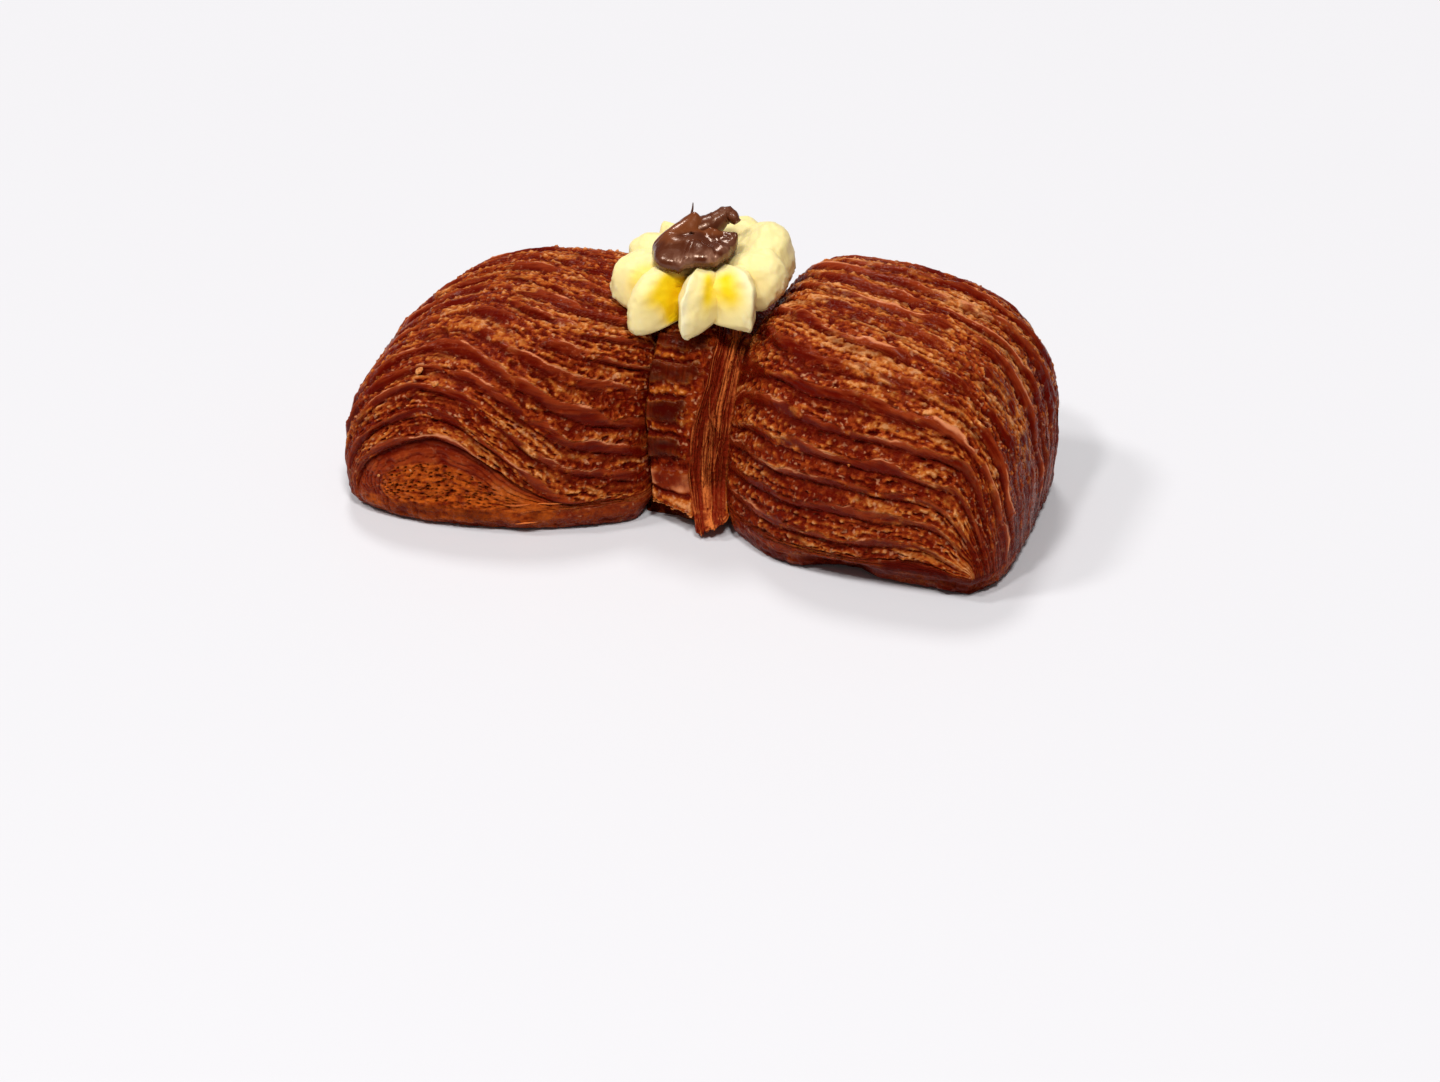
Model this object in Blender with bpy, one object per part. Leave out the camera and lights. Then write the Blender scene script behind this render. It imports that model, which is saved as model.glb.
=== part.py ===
"""Danish pastry shaped like a bow: two puffed wings, a tied band, a cream rosette, chocolate.

Units are metres, +Z is up, X runs along the bow and the front faces -Y. The pastry stands on
z = 0 with the middle of its bounding box above the origin. The model has four solids:

* bow_dough, one pillow of scored dough with a narrow waist that runs through the band,
* knot_band, the strip of dough tied round the waist, with its layered cut edge on one side,
* cream_rosette, the piped cream on top, whose underside follows the dough,
* chocolate_dollop, the spoonful of chocolate on the cream, with a curled peak.

The pillow's upper skin is a grid of (a, b) in -1..1, with a along the bow and b from front to
back, bent over a superellipsoid whose reach and height change along the bow. Ribs, the scored
strips, follow the grid's long lines, so they run out of the knot and down over the ends.
"""

import math
from dataclasses import dataclass

import bmesh
import bpy
import numpy as np
from mathutils import Vector
from mathutils.bvhtree import BVHTree

MM = 0.001

# Overall form of the bow
HALF_LENGTH = 70.5 * MM         # from the knot's middle to the end of a wing
RIM_HEIGHT = 5.5 * MM           # height of the widest line, above which the skin is the pillow
UNDERCUT = 3.5 * MM             # how far the foot lies inside the widest line
PLAN_SQUARENESS = 4.4           # superellipse exponent of the outline seen from above
SECTION_SQUARENESS = 3.3        # superellipse exponent of the outline seen from the end
TOP_LEAN = 5.5 * MM             # how far the crest lies behind the pillow's axis
LEVEL_COLUMNS = 0.2             # the grid's columns are plane this far along each wing,
ROUND_COLUMNS = 0.7             # and round over the end from here on
CORNER_SPREAD = 0.42            # size of the pulled-out corners, in grid units
RIGHT_CORNER_PULL = (4.5 * MM, -1.0 * MM)
LEFT_CORNER_PULL = (-0.5 * MM, 1.0 * MM)

# Waist of the dough, under the band
WAIST_HALF = 10.5 * MM          # half of the waist's length along X
WAIST_FRONT = 11.0 * MM         # reach of the waist from the pillow's axis to the front
WAIST_BACK = 29.0 * MM
WAIST_HEIGHT = 33.0 * MM
WAIST_FLOOR = 4.4 * MM          # the waist clears the ground by this much
SHOULDER_STEP = 1.5 * MM        # length of the step from the waist up to the wing
SHOULDER_POWER = 1.6            # how quickly the wing swells past the step
FOOT_FORWARD = 5.0 * MM         # extra reach of the wings' feet beside the band

# Ribs
RIB_COUNT = 18                  # scored strips from the front edge over the top to the back
RIB_RELIEF = (0.8, 0.5, -0.4, -0.8)   # one rib upwards: strip's lip, its top edge, valley, groove
RIB_HEIGHT = 0.9 * MM
RIB_WANDER = 0.014              # sideways wander of a rib, in grid units
RIB_UNEVEN = 0.15               # share by which the ribs' height varies
CALM_SHARE = 0.3                # share of the relief that is left at the rim and the ends
CALM_RIM = 0.05                 # width of the calmer strip along the rim, in grid units
CALM_END = 0.10                 # and at the ends of the bow
EDGE_ROWS = 5                   # grid rows below the skin's lower edge
EDGE_STEP = 1.3 * MM            # how far the cut layers lie behind the skin's edge
EDGE_LOWEST = 0.06              # height of the skin's edge where nothing is open, in grid units
LENS_TOP = 0.30                 # height of the open cut lens on the left wing, in grid units
LENS_START = -0.20              # where the lens opens, along the bow
LENS_FULL = -0.52               # where it is fully open
LIP_TOP = 0.07                  # the same for the low lip on the right wing
LIP_START = 0.38
LIP_END = 0.88
WING_COLUMNS = 24               # grid columns in each wing
WAIST_COLUMNS = 3
FIRST_COLUMN = 0.45             # spacing of the columns beside the waist, as a share of the mean
LAYER_HEIGHT = 0.35 * MM        # relief of the cut layers
RIB_FADE = 3.0 * MM             # length over which the ribs rise beside the waist
CORNER_CALM = 0.12              # size of the smooth patch at each corner, in grid units
FOOT_RINGS = 3                  # rings of faces between the widest line and the ground
FOOT_SQUARENESS = 2.0           # how late the foot's inward direction turns at the corners
FOOT_NARROWNESS = 0.5           # width of the bow beside its length

# Band
BAND_GAP = 0.3 * MM
BAND_SEGMENTS = 66
BAND_RIBS = 22
BAND_RIB_HEIGHT = 0.45 * MM
BAND_TOE = 3.0 * MM             # how far the loose end sticks out at the foot of the front
BAND_OUTER_LOW = 2.5 * MM       # ribs and toe rise from this thickness of the band
BAND_OUTER_HIGH = 4.5 * MM      # and are full from this one
# The band's cross-section: place along the bow, height above the waist, both in millimetres.
# The flat inner side comes first, then the three stepped layers of the cut edge on the right,
# then the outer face and its rounded left edge.
BAND_OUTLINE = (
    (-9.9, 0.0),
    (10.2, 0.0),
    (9.9, 1.1),
    (8.3, 1.5),
    (7.3, 2.7),
    (5.5, 2.8),
    (4.4, 3.9),
    (2.6, 3.8),
    (1.4, 4.7),
    (-3.5, 4.9),
    (-8.6, 4.6),
    (-10.2, 3.3),
)

# Both toppings are domes: powers of the sine and cosine shape their sides and crown
SIDE_POWER = 0.9
CROWN_POWER = 0.75

# Cream rosette
CREAM_CENTRE = (-1.2 * MM, 8.5 * MM)   # from the knot's middle and the pillow's axis
CREAM_TOP = 50.0 * MM
CREAM_LOWEST = 36.6 * MM        # the lobes hang no lower than this over the band's front
CREAM_PUFF = 4.0 * MM           # how far the lobes swell above the dome
CREAM_GROOVE = 0.70             # reach of a groove beside that of the lobes
CREAM_GAP = 0.6 * MM
CREAM_RIM = 2.4 * MM            # height of the lobes' widest line above the dough
CREAM_TUCK = 0.96               # reach of the underside beside that of the rim
CREAM_UNDER_ANGLE = math.radians(115)  # the underside meets the dough this far round the rim
CREAM_REACH_OVER = 1.2 * MM     # an underside clears everything this close beside it
CREAM_SEGMENTS = 60
CREAM_RINGS = 12
# Piped lobes, anticlockwise from +X: middle angle and half width in degrees, reach in mm
CREAM_LOBES = (
    (12, 38, 18.0),
    (60, 15, 17.5),
    (88, 15, 17.5),
    (116, 14, 17.5),
    (142, 13, 18.0),
    (168, 15, 18.8),
    (203, 21, 19.8),
    (240, 17, 19.2),
    (260, 8, 16.5),
    (277, 11, 19.6),
    (293, 6, 16.0),
    (312, 16, 19.4),
)

# Chocolate dollop
CHOCOLATE_CENTRE = (-3.6 * MM, 3.8 * MM)
CHOCOLATE_SIZE = (8.8 * MM, 8.2 * MM, 4.0 * MM)   # half length, half width, height
CHOCOLATE_TURN = math.radians(22)
CHOCOLATE_GAP = 0.5 * MM
CHOCOLATE_EDGE = 1.0 * MM       # thickness of the drop at its edge
CHOCOLATE_UNEVEN = (0.10, 0.07)        # shares of the outline's bulges and ripples
CHOCOLATE_BACK = 0.25           # how much higher the drop is at the back
CHOCOLATE_SEGMENTS = 24
CHOCOLATE_RINGS = 12
CURL_RADIUS = 1.3 * MM
CURL_TIP_RADIUS = 0.7 * MM
# Middle line of the curl in millimetres, from the dollop's centre and crown
CURL_PATH = (
    (1.2, 6.0, -3.5),
    (2.2, 7.6, -1.4),
    (3.0, 8.6, 0.4),
    (4.6, 9.0, 1.2),
    (6.2, 8.8, 0.8),
    (7.2, 8.4, -0.4),
)

COLLECTION_NAME = "danish_pastry_bow"


@dataclass(frozen=True)
class Wing:
    """Sizes of one wing, measured from the pillow's axis at the full wing and at its end."""

    front: float
    back: float
    height: float
    front_flare: float     # added reach at the wing's end
    back_flare: float
    height_flare: float
    shoulder: float        # length over which the wing swells past the step
    step: float            # height of the step beside the band


LEFT_WING = Wing(31.5 * MM, 31.5 * MM, 42.0 * MM, 9.5 * MM, -3.5 * MM, -5.5 * MM, 15.0 * MM, 4.0 * MM)
RIGHT_WING = Wing(28.5 * MM, 34.0 * MM, 47.0 * MM, 6.5 * MM, 4.0 * MM, 1.2 * MM, 10.0 * MM, 1.0 * MM)


def smooth_step(low, high, value):
    """Rise from 0 at low to 1 at high with level ends."""
    t = np.clip((value - low) / (high - low), 0.0, 1.0)
    return t * t * (3.0 - 2.0 * t)


def either_wing(is_left, name):
    """One of the wings' sizes, picked for each point by its side."""
    return np.where(is_left, getattr(LEFT_WING, name), getattr(RIGHT_WING, name))


def wing_reach(along, level, waist, full_name, flare_name, foot):
    """Reach of the pillow at a distance along the bow.

    The waist keeps its own reach, a step leads up beside the band, and the wing swells from
    there to its full reach, to which the flare adds towards the end. Level runs from 0 at the
    widest line to 1 at the crest, and the foot's extra reach fades with it.
    """
    is_left = along < 0
    past_waist = np.maximum(np.abs(along) - WAIST_HALF, 0.0)
    step = smooth_step(0.0, SHOULDER_STEP, past_waist)
    swell = 1.0 - np.exp(-(past_waist / either_wing(is_left, "shoulder")) ** SHOULDER_POWER)
    step_height = either_wing(is_left, "step") + foot * (1.0 - level) ** 2
    end = (past_waist / (HALF_LENGTH - WAIST_HALF)) ** 2
    full = either_wing(is_left, full_name)
    return (
        waist
        + step_height * step
        + (full - waist - step_height) * swell
        + either_wing(is_left, flare_name) * end
    )


def pillow(a, b):
    """Smooth upper skin of the bow at grid places a and b, as an array of points."""
    angle_a = a * math.pi / 2
    angle_b = b * math.pi / 2
    x = np.sin(angle_a) + 0.0 * b
    y = np.sin(angle_b) + 0.0 * a
    z = np.maximum(np.cos(angle_a) * np.cos(angle_b), 0.0)
    plan = (np.abs(x) ** PLAN_SQUARENESS + np.abs(y) ** PLAN_SQUARENESS) ** (
        SECTION_SQUARENESS / PLAN_SQUARENESS
    )
    size = (plan + z**SECTION_SQUARENESS) ** (1.0 / SECTION_SQUARENESS)
    middle_size = (
        np.abs(y) ** SECTION_SQUARENESS + np.maximum(np.cos(angle_b), 0.0) ** SECTION_SQUARENESS
    ) ** (1.0 / SECTION_SQUARENESS)
    keep_columns_level = 1.0 - smooth_step(LEVEL_COLUMNS, ROUND_COLUMNS, np.abs(x))
    along = HALF_LENGTH * x / size * (1.0 + (middle_size - 1.0) * keep_columns_level)
    y, z = y / size, z / size
    front = wing_reach(along, z, WAIST_FRONT, "front", "front_flare", FOOT_FORWARD)
    back = wing_reach(along, z, WAIST_BACK, "back", "back_flare", 0.0)
    height = wing_reach(along, z, WAIST_HEIGHT, "height", "height_flare", 0.0)
    across = np.where(y < 0, front, back) * y + TOP_LEAN * z**1.5
    right_corner = np.exp(-((1 - a) ** 2 + (1 + b) ** 2) / CORNER_SPREAD**2)
    left_corner = np.exp(-((1 + a) ** 2 + (1 + b) ** 2) / CORNER_SPREAD**2)
    return np.stack(
        [
            along + right_corner * RIGHT_CORNER_PULL[0] + left_corner * LEFT_CORNER_PULL[0],
            across + right_corner * RIGHT_CORNER_PULL[1] + left_corner * LEFT_CORNER_PULL[1],
            RIM_HEIGHT + (height - RIM_HEIGHT) * z,
        ],
        axis=-1,
    )


def skin_opening(a):
    """How far the skin's lower edge is raised: the lens on the left wing, the lip on the right."""
    lens = LENS_TOP * smooth_step(LENS_START, LENS_FULL, a)
    along_lip = np.clip((a - LIP_START) / (LIP_END - LIP_START), 0.0, 1.0)
    lip = LIP_TOP * np.sin(math.pi * along_lip) ** 2
    return lens + lip


def grid_columns():
    """Places of the grid's columns along the bow: even in the waist, finer beside it."""
    waist_end = math.asin(WAIST_HALF / HALF_LENGTH) * 2 / math.pi
    waist = np.linspace(-waist_end, waist_end, WAIST_COLUMNS + 1)
    t = np.linspace(0.0, 1.0, WING_COLUMNS + 1)[1:]
    wing = waist_end + (1.0 - waist_end) * t * (FIRST_COLUMN + (1.0 - FIRST_COLUMN) * t)
    return np.concatenate([-wing[::-1], waist, wing])


def grid_rows(a):
    """Places of the grid's rows for each column: the cut layers, then the ribbed skin.

    The skin's rows are crowded together above the lens and even at the back, and they wander a
    little, because no two scored strips run quite alike.
    """
    raised = EDGE_LOWEST + skin_opening(a)[:, None]
    layers = -1.0 + raised * np.linspace(0.0, 1.0, EDGE_ROWS + 1)[None, :-1]
    t = np.linspace(-1.0, 1.0, RIB_COUNT * len(RIB_RELIEF) + 1)[None, :]
    wander = RIB_WANDER * np.sin(9.0 * a[:, None] + 4.0 * t) * np.cos(math.pi / 2 * t)
    skin = t + raised * ((1.0 - t) / 2) ** 2 + wander
    return np.concatenate([layers, skin], axis=1)


def skin_relief(a, rows):
    """Height of the ribs above the pillow, and of the cut layers below the skin's edge."""
    rib = np.tile(np.array(RIB_RELIEF), RIB_COUNT + 1)[: rows.shape[1] - EDGE_ROWS]
    uneven = np.sin(11.0 * a[:, None] + 7.0 * rows[:, EDGE_ROWS:])
    skin = RIB_HEIGHT * rib[None, :] * (1.0 - RIB_UNEVEN + RIB_UNEVEN * uneven)
    opened = smooth_step(0.0, LIP_TOP / 2, skin_opening(a))[:, None]
    layer = np.where(np.arange(EDGE_ROWS) % 2 == 0, 0.0, LAYER_HEIGHT)[None, :]
    relief = np.concatenate([opened * (layer - EDGE_STEP), skin], axis=1)
    along = np.abs(HALF_LENGTH * np.sin(a * math.pi / 2))
    beside_waist = smooth_step(WAIST_HALF, WAIST_HALF + RIB_FADE, along)[:, None]
    from_end = 1.0 - np.abs(a[:, None])
    from_rim = 1.0 - np.abs(rows)
    to_ends = CALM_SHARE + (1.0 - CALM_SHARE) * smooth_step(0.0, CALM_END, from_end)
    to_rim = CALM_SHARE + (1.0 - CALM_SHARE) * np.minimum(1.0, from_rim / CALM_RIM)
    corner = from_end**2 + from_rim**2
    to_corners = 1.0 - np.exp(-corner / CORNER_CALM**2)
    return relief * beside_waist * to_ends * to_rim * to_corners


def outward_normals(points):
    """Unit normals of a grid of points, from its neighbours."""
    along = np.gradient(points, axis=0)
    across = np.gradient(points, axis=1)
    normal = np.cross(along, across)
    length = np.linalg.norm(normal, axis=-1, keepdims=True)
    return normal / np.maximum(length, 1e-12)


def make_material(name, colour, roughness):
    """Principled material in one plain colour."""
    material = bpy.data.materials.new(name)
    material.use_nodes = True
    shader = material.node_tree.nodes["Principled BSDF"]
    shader.inputs["Base Color"].default_value = (*colour, 1.0)
    shader.inputs["Roughness"].default_value = roughness
    shader.inputs["Metallic"].default_value = 0.0
    return material


def add_object(name, mesh, collection, material):
    """Object in the part's collection, shaded smooth up to sharp angles."""
    mesh.materials.append(material)
    mesh.shade_smooth()
    mesh.set_sharp_from_angle(angle=math.radians(50))
    new_object = bpy.data.objects.new(name, mesh)
    collection.objects.link(new_object)
    return new_object


def bmesh_to_mesh(name, bm):
    """Mesh from a closed bmesh, with its faces turned outwards."""
    bmesh.ops.recalc_face_normals(bm, faces=bm.faces)
    mesh = bpy.data.meshes.new(name)
    bm.to_mesh(mesh)
    bm.free()
    return mesh


def primitive_points(mesh):
    """Vertex places of a primitive as an array."""
    points = np.empty(len(mesh.vertices) * 3)
    mesh.vertices.foreach_get("co", points)
    return points.reshape(-1, 3)


def take_primitive_mesh(name):
    """Mesh of the primitive that was just added, freed from its object."""
    primitive = bpy.context.object
    mesh = primitive.data
    mesh.name = name
    bpy.data.objects.remove(primitive)
    return mesh


def build_dough(collection, material):
    """The bow: the ribbed skin as a bent grid, a rounded foot, and a flat underside."""
    a = grid_columns()
    rows = grid_rows(a)
    smooth = pillow(a[:, None], rows)
    points = smooth + outward_normals(smooth) * skin_relief(a, rows)[..., None]
    points[[0, -1], :, 2] = RIM_HEIGHT
    points[:, [0, -1], 2] = RIM_HEIGHT
    column_count, row_count = rows.shape
    bm = bmesh.new()
    bmesh.ops.create_grid(bm, x_segments=column_count - 1, y_segments=row_count - 1, size=1.0)
    grid = sorted(bm.verts, key=lambda vert: (round(vert.co.x, 5), round(vert.co.y, 5)))
    for vert, place in zip(grid, points.reshape(-1, 3)):
        vert.co = place
    order = np.arange(column_count * row_count).reshape(column_count, row_count)
    around = np.concatenate(
        [order[:, 0], order[-1, 1:], order[-2::-1, -1], order[0, -2:0:-1]]
    )
    rim = [grid[i] for i in around]
    places = np.stack([np.broadcast_to(a[:, None], rows.shape), rows], axis=-1)
    inward = inward_from_rim(places.reshape(-1, 2)[around])
    foot = add_foot_rings(bm, rim, inward)
    close_underside(bm, foot, column_count, row_count)
    return add_object("bow_dough", bmesh_to_mesh("bow_dough", bm), collection, material)


def foot_floor(x):
    """Height of the dough's underside: the ground under the wings, an arch in the waist."""
    return WAIST_FLOOR * (1.0 - smooth_step(WAIST_HALF, WAIST_HALF + SHOULDER_STEP, abs(x)))


def inward_from_rim(grid_places):
    """Level unit vectors from the widest line inwards, square to the plain superellipse."""
    side = np.sin(grid_places * math.pi / 2)
    slope = np.sign(side) * np.abs(side) ** FOOT_SQUARENESS * np.array([FOOT_NARROWNESS, 1.0])
    return -slope / np.linalg.norm(slope, axis=1, keepdims=True)


def add_foot_rings(bm, rim, inward):
    """Rings of faces from the widest line, round a quarter of an ellipse, down to the ground."""
    places = np.array([vert.co for vert in rim])
    floor = np.array([foot_floor(x) for x in places[:, 0]])
    ring = rim
    for step in range(1, FOOT_RINGS + 1):
        turn = math.pi / 2 * step / FOOT_RINGS
        lower = []
        for place, towards, ground in zip(places, inward, floor):
            x, y = place[:2] + towards * UNDERCUT * (1.0 - math.cos(turn))
            z = ground + (RIM_HEIGHT - ground) * (1.0 - math.sin(turn))
            lower.append(bm.verts.new((x, y, z)))
        for i in range(len(ring)):
            j = (i + 1) % len(ring)
            bm.faces.new((ring[i], ring[j], lower[j], lower[i]))
        ring = lower
    return ring


def close_underside(bm, foot, column_count, row_count):
    """Underside: one strip of quads from front to back, and one flat face under each end."""
    front = foot[:column_count]
    back_start = column_count - 1 + row_count - 1
    back = foot[back_start : back_start + column_count][::-1]
    for i in range(column_count - 1):
        bm.faces.new((front[i], front[i + 1], back[i + 1], back[i]))
    right_end = foot[column_count - 1 : back_start + 1]
    left_end = foot[back_start + column_count - 1 :] + foot[:1]
    bm.faces.new(right_end)
    bm.faces.new(left_end)


def waist_section(angle, grow):
    """Closed outline round the waist, grown outwards: y and z for each angle from +Y over +Z."""
    cosine = np.cos(angle)
    sine = np.sin(angle)
    upper = sine >= 0
    size = (np.abs(cosine) ** SECTION_SQUARENESS + np.abs(sine) ** SECTION_SQUARENESS) ** (
        1.0 / SECTION_SQUARENESS
    )
    side = np.where(cosine >= 0, WAIST_BACK, WAIST_FRONT) + grow
    level = np.where(upper, sine / size, 0.0)
    rise = (WAIST_HEIGHT - RIM_HEIGHT + grow) * level
    bottom = np.maximum(WAIST_FLOOR - grow, 0.0)
    fall = (RIM_HEIGHT - bottom) * np.where(upper, 0.0, -sine)
    in_foot = UNDERCUT * (1.0 - np.abs(cosine)) * np.where(upper, 0.0, 1.0)
    across = np.where(upper, side * cosine / size, np.sign(cosine) * (side - in_foot))
    straight_down = np.abs(cosine) < 1e-6
    across = np.where(straight_down, 0.0, across)
    return across + TOP_LEAN * level**1.5, RIM_HEIGHT + rise - fall


def build_band(collection, material):
    """The tied strip: a torus whose tube takes the band's outline and which hugs the waist."""
    bpy.ops.mesh.primitive_torus_add(
        major_segments=BAND_SEGMENTS,
        minor_segments=len(BAND_OUTLINE),
        major_radius=1.0,
        minor_radius=0.25,
    )
    mesh = take_primitive_mesh("knot_band")
    torus = primitive_points(mesh)
    angle = np.arctan2(torus[:, 1], torus[:, 0])
    tube = np.arctan2(torus[:, 2], np.hypot(torus[:, 0], torus[:, 1]) - 1.0)
    corner = np.round(tube / (2 * math.pi) * len(BAND_OUTLINE)).astype(int) % len(BAND_OUTLINE)
    outline = np.array(BAND_OUTLINE) * MM
    along = outline[corner, 0]
    grow = outline[corner, 1]
    outer = smooth_step(BAND_OUTER_LOW, BAND_OUTER_HIGH, grow)
    above_rim = smooth_step(-0.2, 0.3, np.sin(angle))
    rib = np.cos(angle * BAND_RIBS) * BAND_RIB_HEIGHT * outer * above_rim
    y, z = waist_section(angle, grow + rib + BAND_GAP)
    near_ground = smooth_step(0.3, -0.4, np.sin(angle))
    in_front = smooth_step(-0.1, -0.6, np.cos(angle))
    toe = BAND_TOE * near_ground * in_front * outer
    points = np.stack([along, y - toe, z], axis=-1)
    mesh.vertices.foreach_set("co", points.ravel())
    bm = bmesh.new()
    bm.from_mesh(mesh)
    bpy.data.meshes.remove(mesh)
    return add_object("knot_band", bmesh_to_mesh("knot_band", bm), collection, material)


def surface_tree(objects):
    """Search tree over the faces of several objects."""
    corners = []
    faces = []
    for item in objects:
        first = len(corners)
        corners.extend(vert.co.copy() for vert in item.data.vertices)
        faces.extend([first + index for index in face.vertices] for face in item.data.polygons)
    return BVHTree.FromPolygons(corners, faces)


def height_below(tree, x, y, spread):
    """Highest point of the surface at a place and close round it, looking down."""
    offsets = ((0, 0), (spread, 0), (-spread, 0), (0, spread), (0, -spread))
    heights = []
    for dx, dy in offsets:
        hit = tree.ray_cast(Vector((x + dx, y + dy, 1.0)), Vector((0, 0, -1)))
        heights.append(hit[0].z if hit[0] else 0.0)
    return max(heights)


def lobe_profile(angle):
    """Swell of the piped lobes round the rosette, 0 in a groove and 1 on a crest, and reach."""
    swell = np.zeros_like(angle)
    reach = np.full_like(angle, CREAM_LOBES[0][2] * MM)
    for middle, half_width, lobe_reach in CREAM_LOBES:
        away = (np.degrees(angle) - middle + 180.0) % 360.0 - 180.0
        inside = np.sqrt(np.clip(1.0 - (away / half_width) ** 2, 0.0, 1.0))
        reach = np.where(inside > swell, lobe_reach * MM, reach)
        swell = np.maximum(swell, inside)
    return swell, reach


def take_sphere(name, segments, rings):
    """Mesh of a unit sphere, with the angle round +Z and the angle from +Z of its vertices."""
    bpy.ops.mesh.primitive_uv_sphere_add(segments=segments, ring_count=rings, radius=1.0)
    mesh = take_primitive_mesh(name)
    sphere = primitive_points(mesh)
    angle = np.arctan2(sphere[:, 1], sphere[:, 0])
    polar = np.arccos(np.clip(sphere[:, 2], -1.0, 1.0))
    return mesh, angle, polar


def place_points(mesh, x, y, z):
    """Closed bmesh with a primitive's faces and new vertex places."""
    mesh.vertices.foreach_set("co", np.stack([x, y, z], axis=-1).ravel())
    bm = bmesh.new()
    bm.from_mesh(mesh)
    bpy.data.meshes.remove(mesh)
    return bm


def build_cream(collection, material, seat):
    """The rosette: a sphere pulled into drooping lobes whose underside follows the dough."""
    mesh, angle, polar = take_sphere("cream_sphere", CREAM_SEGMENTS, CREAM_RINGS)
    swell, reach = lobe_profile(angle)
    upper = polar < math.pi / 2 - 1e-4
    radius = reach * np.sin(polar) ** SIDE_POWER * (CREAM_GROOVE + (1.0 - CREAM_GROOVE) * swell)
    radius = np.where(upper, radius, radius * CREAM_TUCK)
    x = CREAM_CENTRE[0] + radius * np.cos(angle)
    y = CREAM_CENTRE[1] + radius * np.sin(angle)
    seats = [height_below(seat, px, py, CREAM_REACH_OVER) for px, py in zip(x, y)]
    bottom = np.maximum(np.array(seats) + CREAM_GAP, CREAM_LOWEST)
    rim = bottom + CREAM_RIM
    dome = rim + (CREAM_TOP - rim) * np.clip(np.cos(polar), 0.0, 1.0) ** CROWN_POWER
    puff = CREAM_PUFF * swell * np.sin(2.0 * polar)
    under_rim = np.clip((CREAM_UNDER_ANGLE - polar) / (CREAM_UNDER_ANGLE - math.pi / 2), 0.0, 1.0)
    z = np.where(upper, dome + puff, bottom + CREAM_RIM * under_rim**2)
    bm = place_points(mesh, x, y, z)
    return add_object("cream_rosette", bmesh_to_mesh("cream_rosette", bm), collection, material)


def build_chocolate(collection, material, seat):
    """The dollop: a lopsided drop that lies on the cream, with a curled peak joined to it."""
    mesh, angle, polar = take_sphere("chocolate_sphere", CHOCOLATE_SEGMENTS, CHOCOLATE_RINGS)
    half_length, half_width, height = CHOCOLATE_SIZE
    bulge, ripple = CHOCOLATE_UNEVEN
    uneven = 1.0 + bulge * np.cos(3.0 * angle + 0.6) + ripple * np.cos(5.0 * angle - 1.0)
    reach = np.sin(polar) ** SIDE_POWER * uneven
    along = half_length * reach * np.cos(angle)
    across = half_width * reach * np.sin(angle)
    x = CHOCOLATE_CENTRE[0] + along * math.cos(CHOCOLATE_TURN) - across * math.sin(CHOCOLATE_TURN)
    y = CHOCOLATE_CENTRE[1] + along * math.sin(CHOCOLATE_TURN) + across * math.cos(CHOCOLATE_TURN)
    seats = [height_below(seat, px, py, CREAM_REACH_OVER) for px, py in zip(x, y)]
    bottom = np.array(seats) + CHOCOLATE_GAP
    upper = polar < math.pi / 2 - 1e-4
    back_heavy = 1.0 + CHOCOLATE_BACK * np.sin(angle) * reach
    rise = height * np.clip(np.cos(polar), 0.0, 1.0) ** CROWN_POWER * back_heavy
    z = np.where(upper, bottom + CHOCOLATE_EDGE + rise, bottom)
    bm = place_points(mesh, x, y, z)
    drop = add_object("chocolate_dollop", bmesh_to_mesh("chocolate_dollop", bm), collection, material)
    crown = float(z.max())
    curl = build_curl(crown)
    join_solid(drop, curl)
    return drop


def build_curl(crown):
    """The curled peak: a tapering tube along a short curve, as a closed mesh object."""
    curve = bpy.data.curves.new("chocolate_curl", "CURVE")
    curve.dimensions = "3D"
    curve.bevel_depth = CURL_RADIUS
    curve.bevel_resolution = 2
    curve.use_fill_caps = True
    spline = curve.splines.new("POLY")
    spline.points.add(len(CURL_PATH) - 1)
    for i, (dx, dy, dz) in enumerate(CURL_PATH):
        x = CHOCOLATE_CENTRE[0] + dx * MM
        y = CHOCOLATE_CENTRE[1] + dy * MM
        spline.points[i].co = (x, y, crown + dz * MM, 1.0)
        taper = i / (len(CURL_PATH) - 1)
        spline.points[i].radius = 1.0 + (CURL_TIP_RADIUS / CURL_RADIUS - 1.0) * taper
    guide = bpy.data.objects.new("chocolate_curl", curve)
    bpy.context.scene.collection.objects.link(guide)
    evaluated = guide.evaluated_get(bpy.context.evaluated_depsgraph_get())
    bm = bmesh.new()
    bm.from_mesh(bpy.data.meshes.new_from_object(evaluated))
    bmesh.ops.remove_doubles(bm, verts=bm.verts, dist=0.01 * MM)
    bpy.data.objects.remove(guide)
    tube = bpy.data.objects.new("chocolate_curl_tube", bmesh_to_mesh("chocolate_curl_tube", bm))
    bpy.context.scene.collection.objects.link(tube)
    return tube


def join_solid(body, addition):
    """Boolean union of an object with another, applied, after which the other is removed."""
    union = body.modifiers.new("union", "BOOLEAN")
    union.operation = "UNION"
    union.solver = "EXACT"
    union.object = addition
    evaluated = body.evaluated_get(bpy.context.evaluated_depsgraph_get())
    joined = bpy.data.meshes.new_from_object(evaluated)
    body.modifiers.remove(union)
    body.data = joined
    bpy.data.objects.remove(addition)


def centre_on_ground(objects):
    """Shift every mesh so that the bounding box of all stands on z = 0, centred on the origin."""
    corners = np.concatenate([primitive_points(item.data) for item in objects])
    low = corners.min(axis=0)
    high = corners.max(axis=0)
    shift = -np.array([(low[0] + high[0]) / 2, (low[1] + high[1]) / 2, low[2]])
    for item in objects:
        points = primitive_points(item.data) + shift
        item.data.vertices.foreach_set("co", points.ravel())
        item.data.update()


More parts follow.
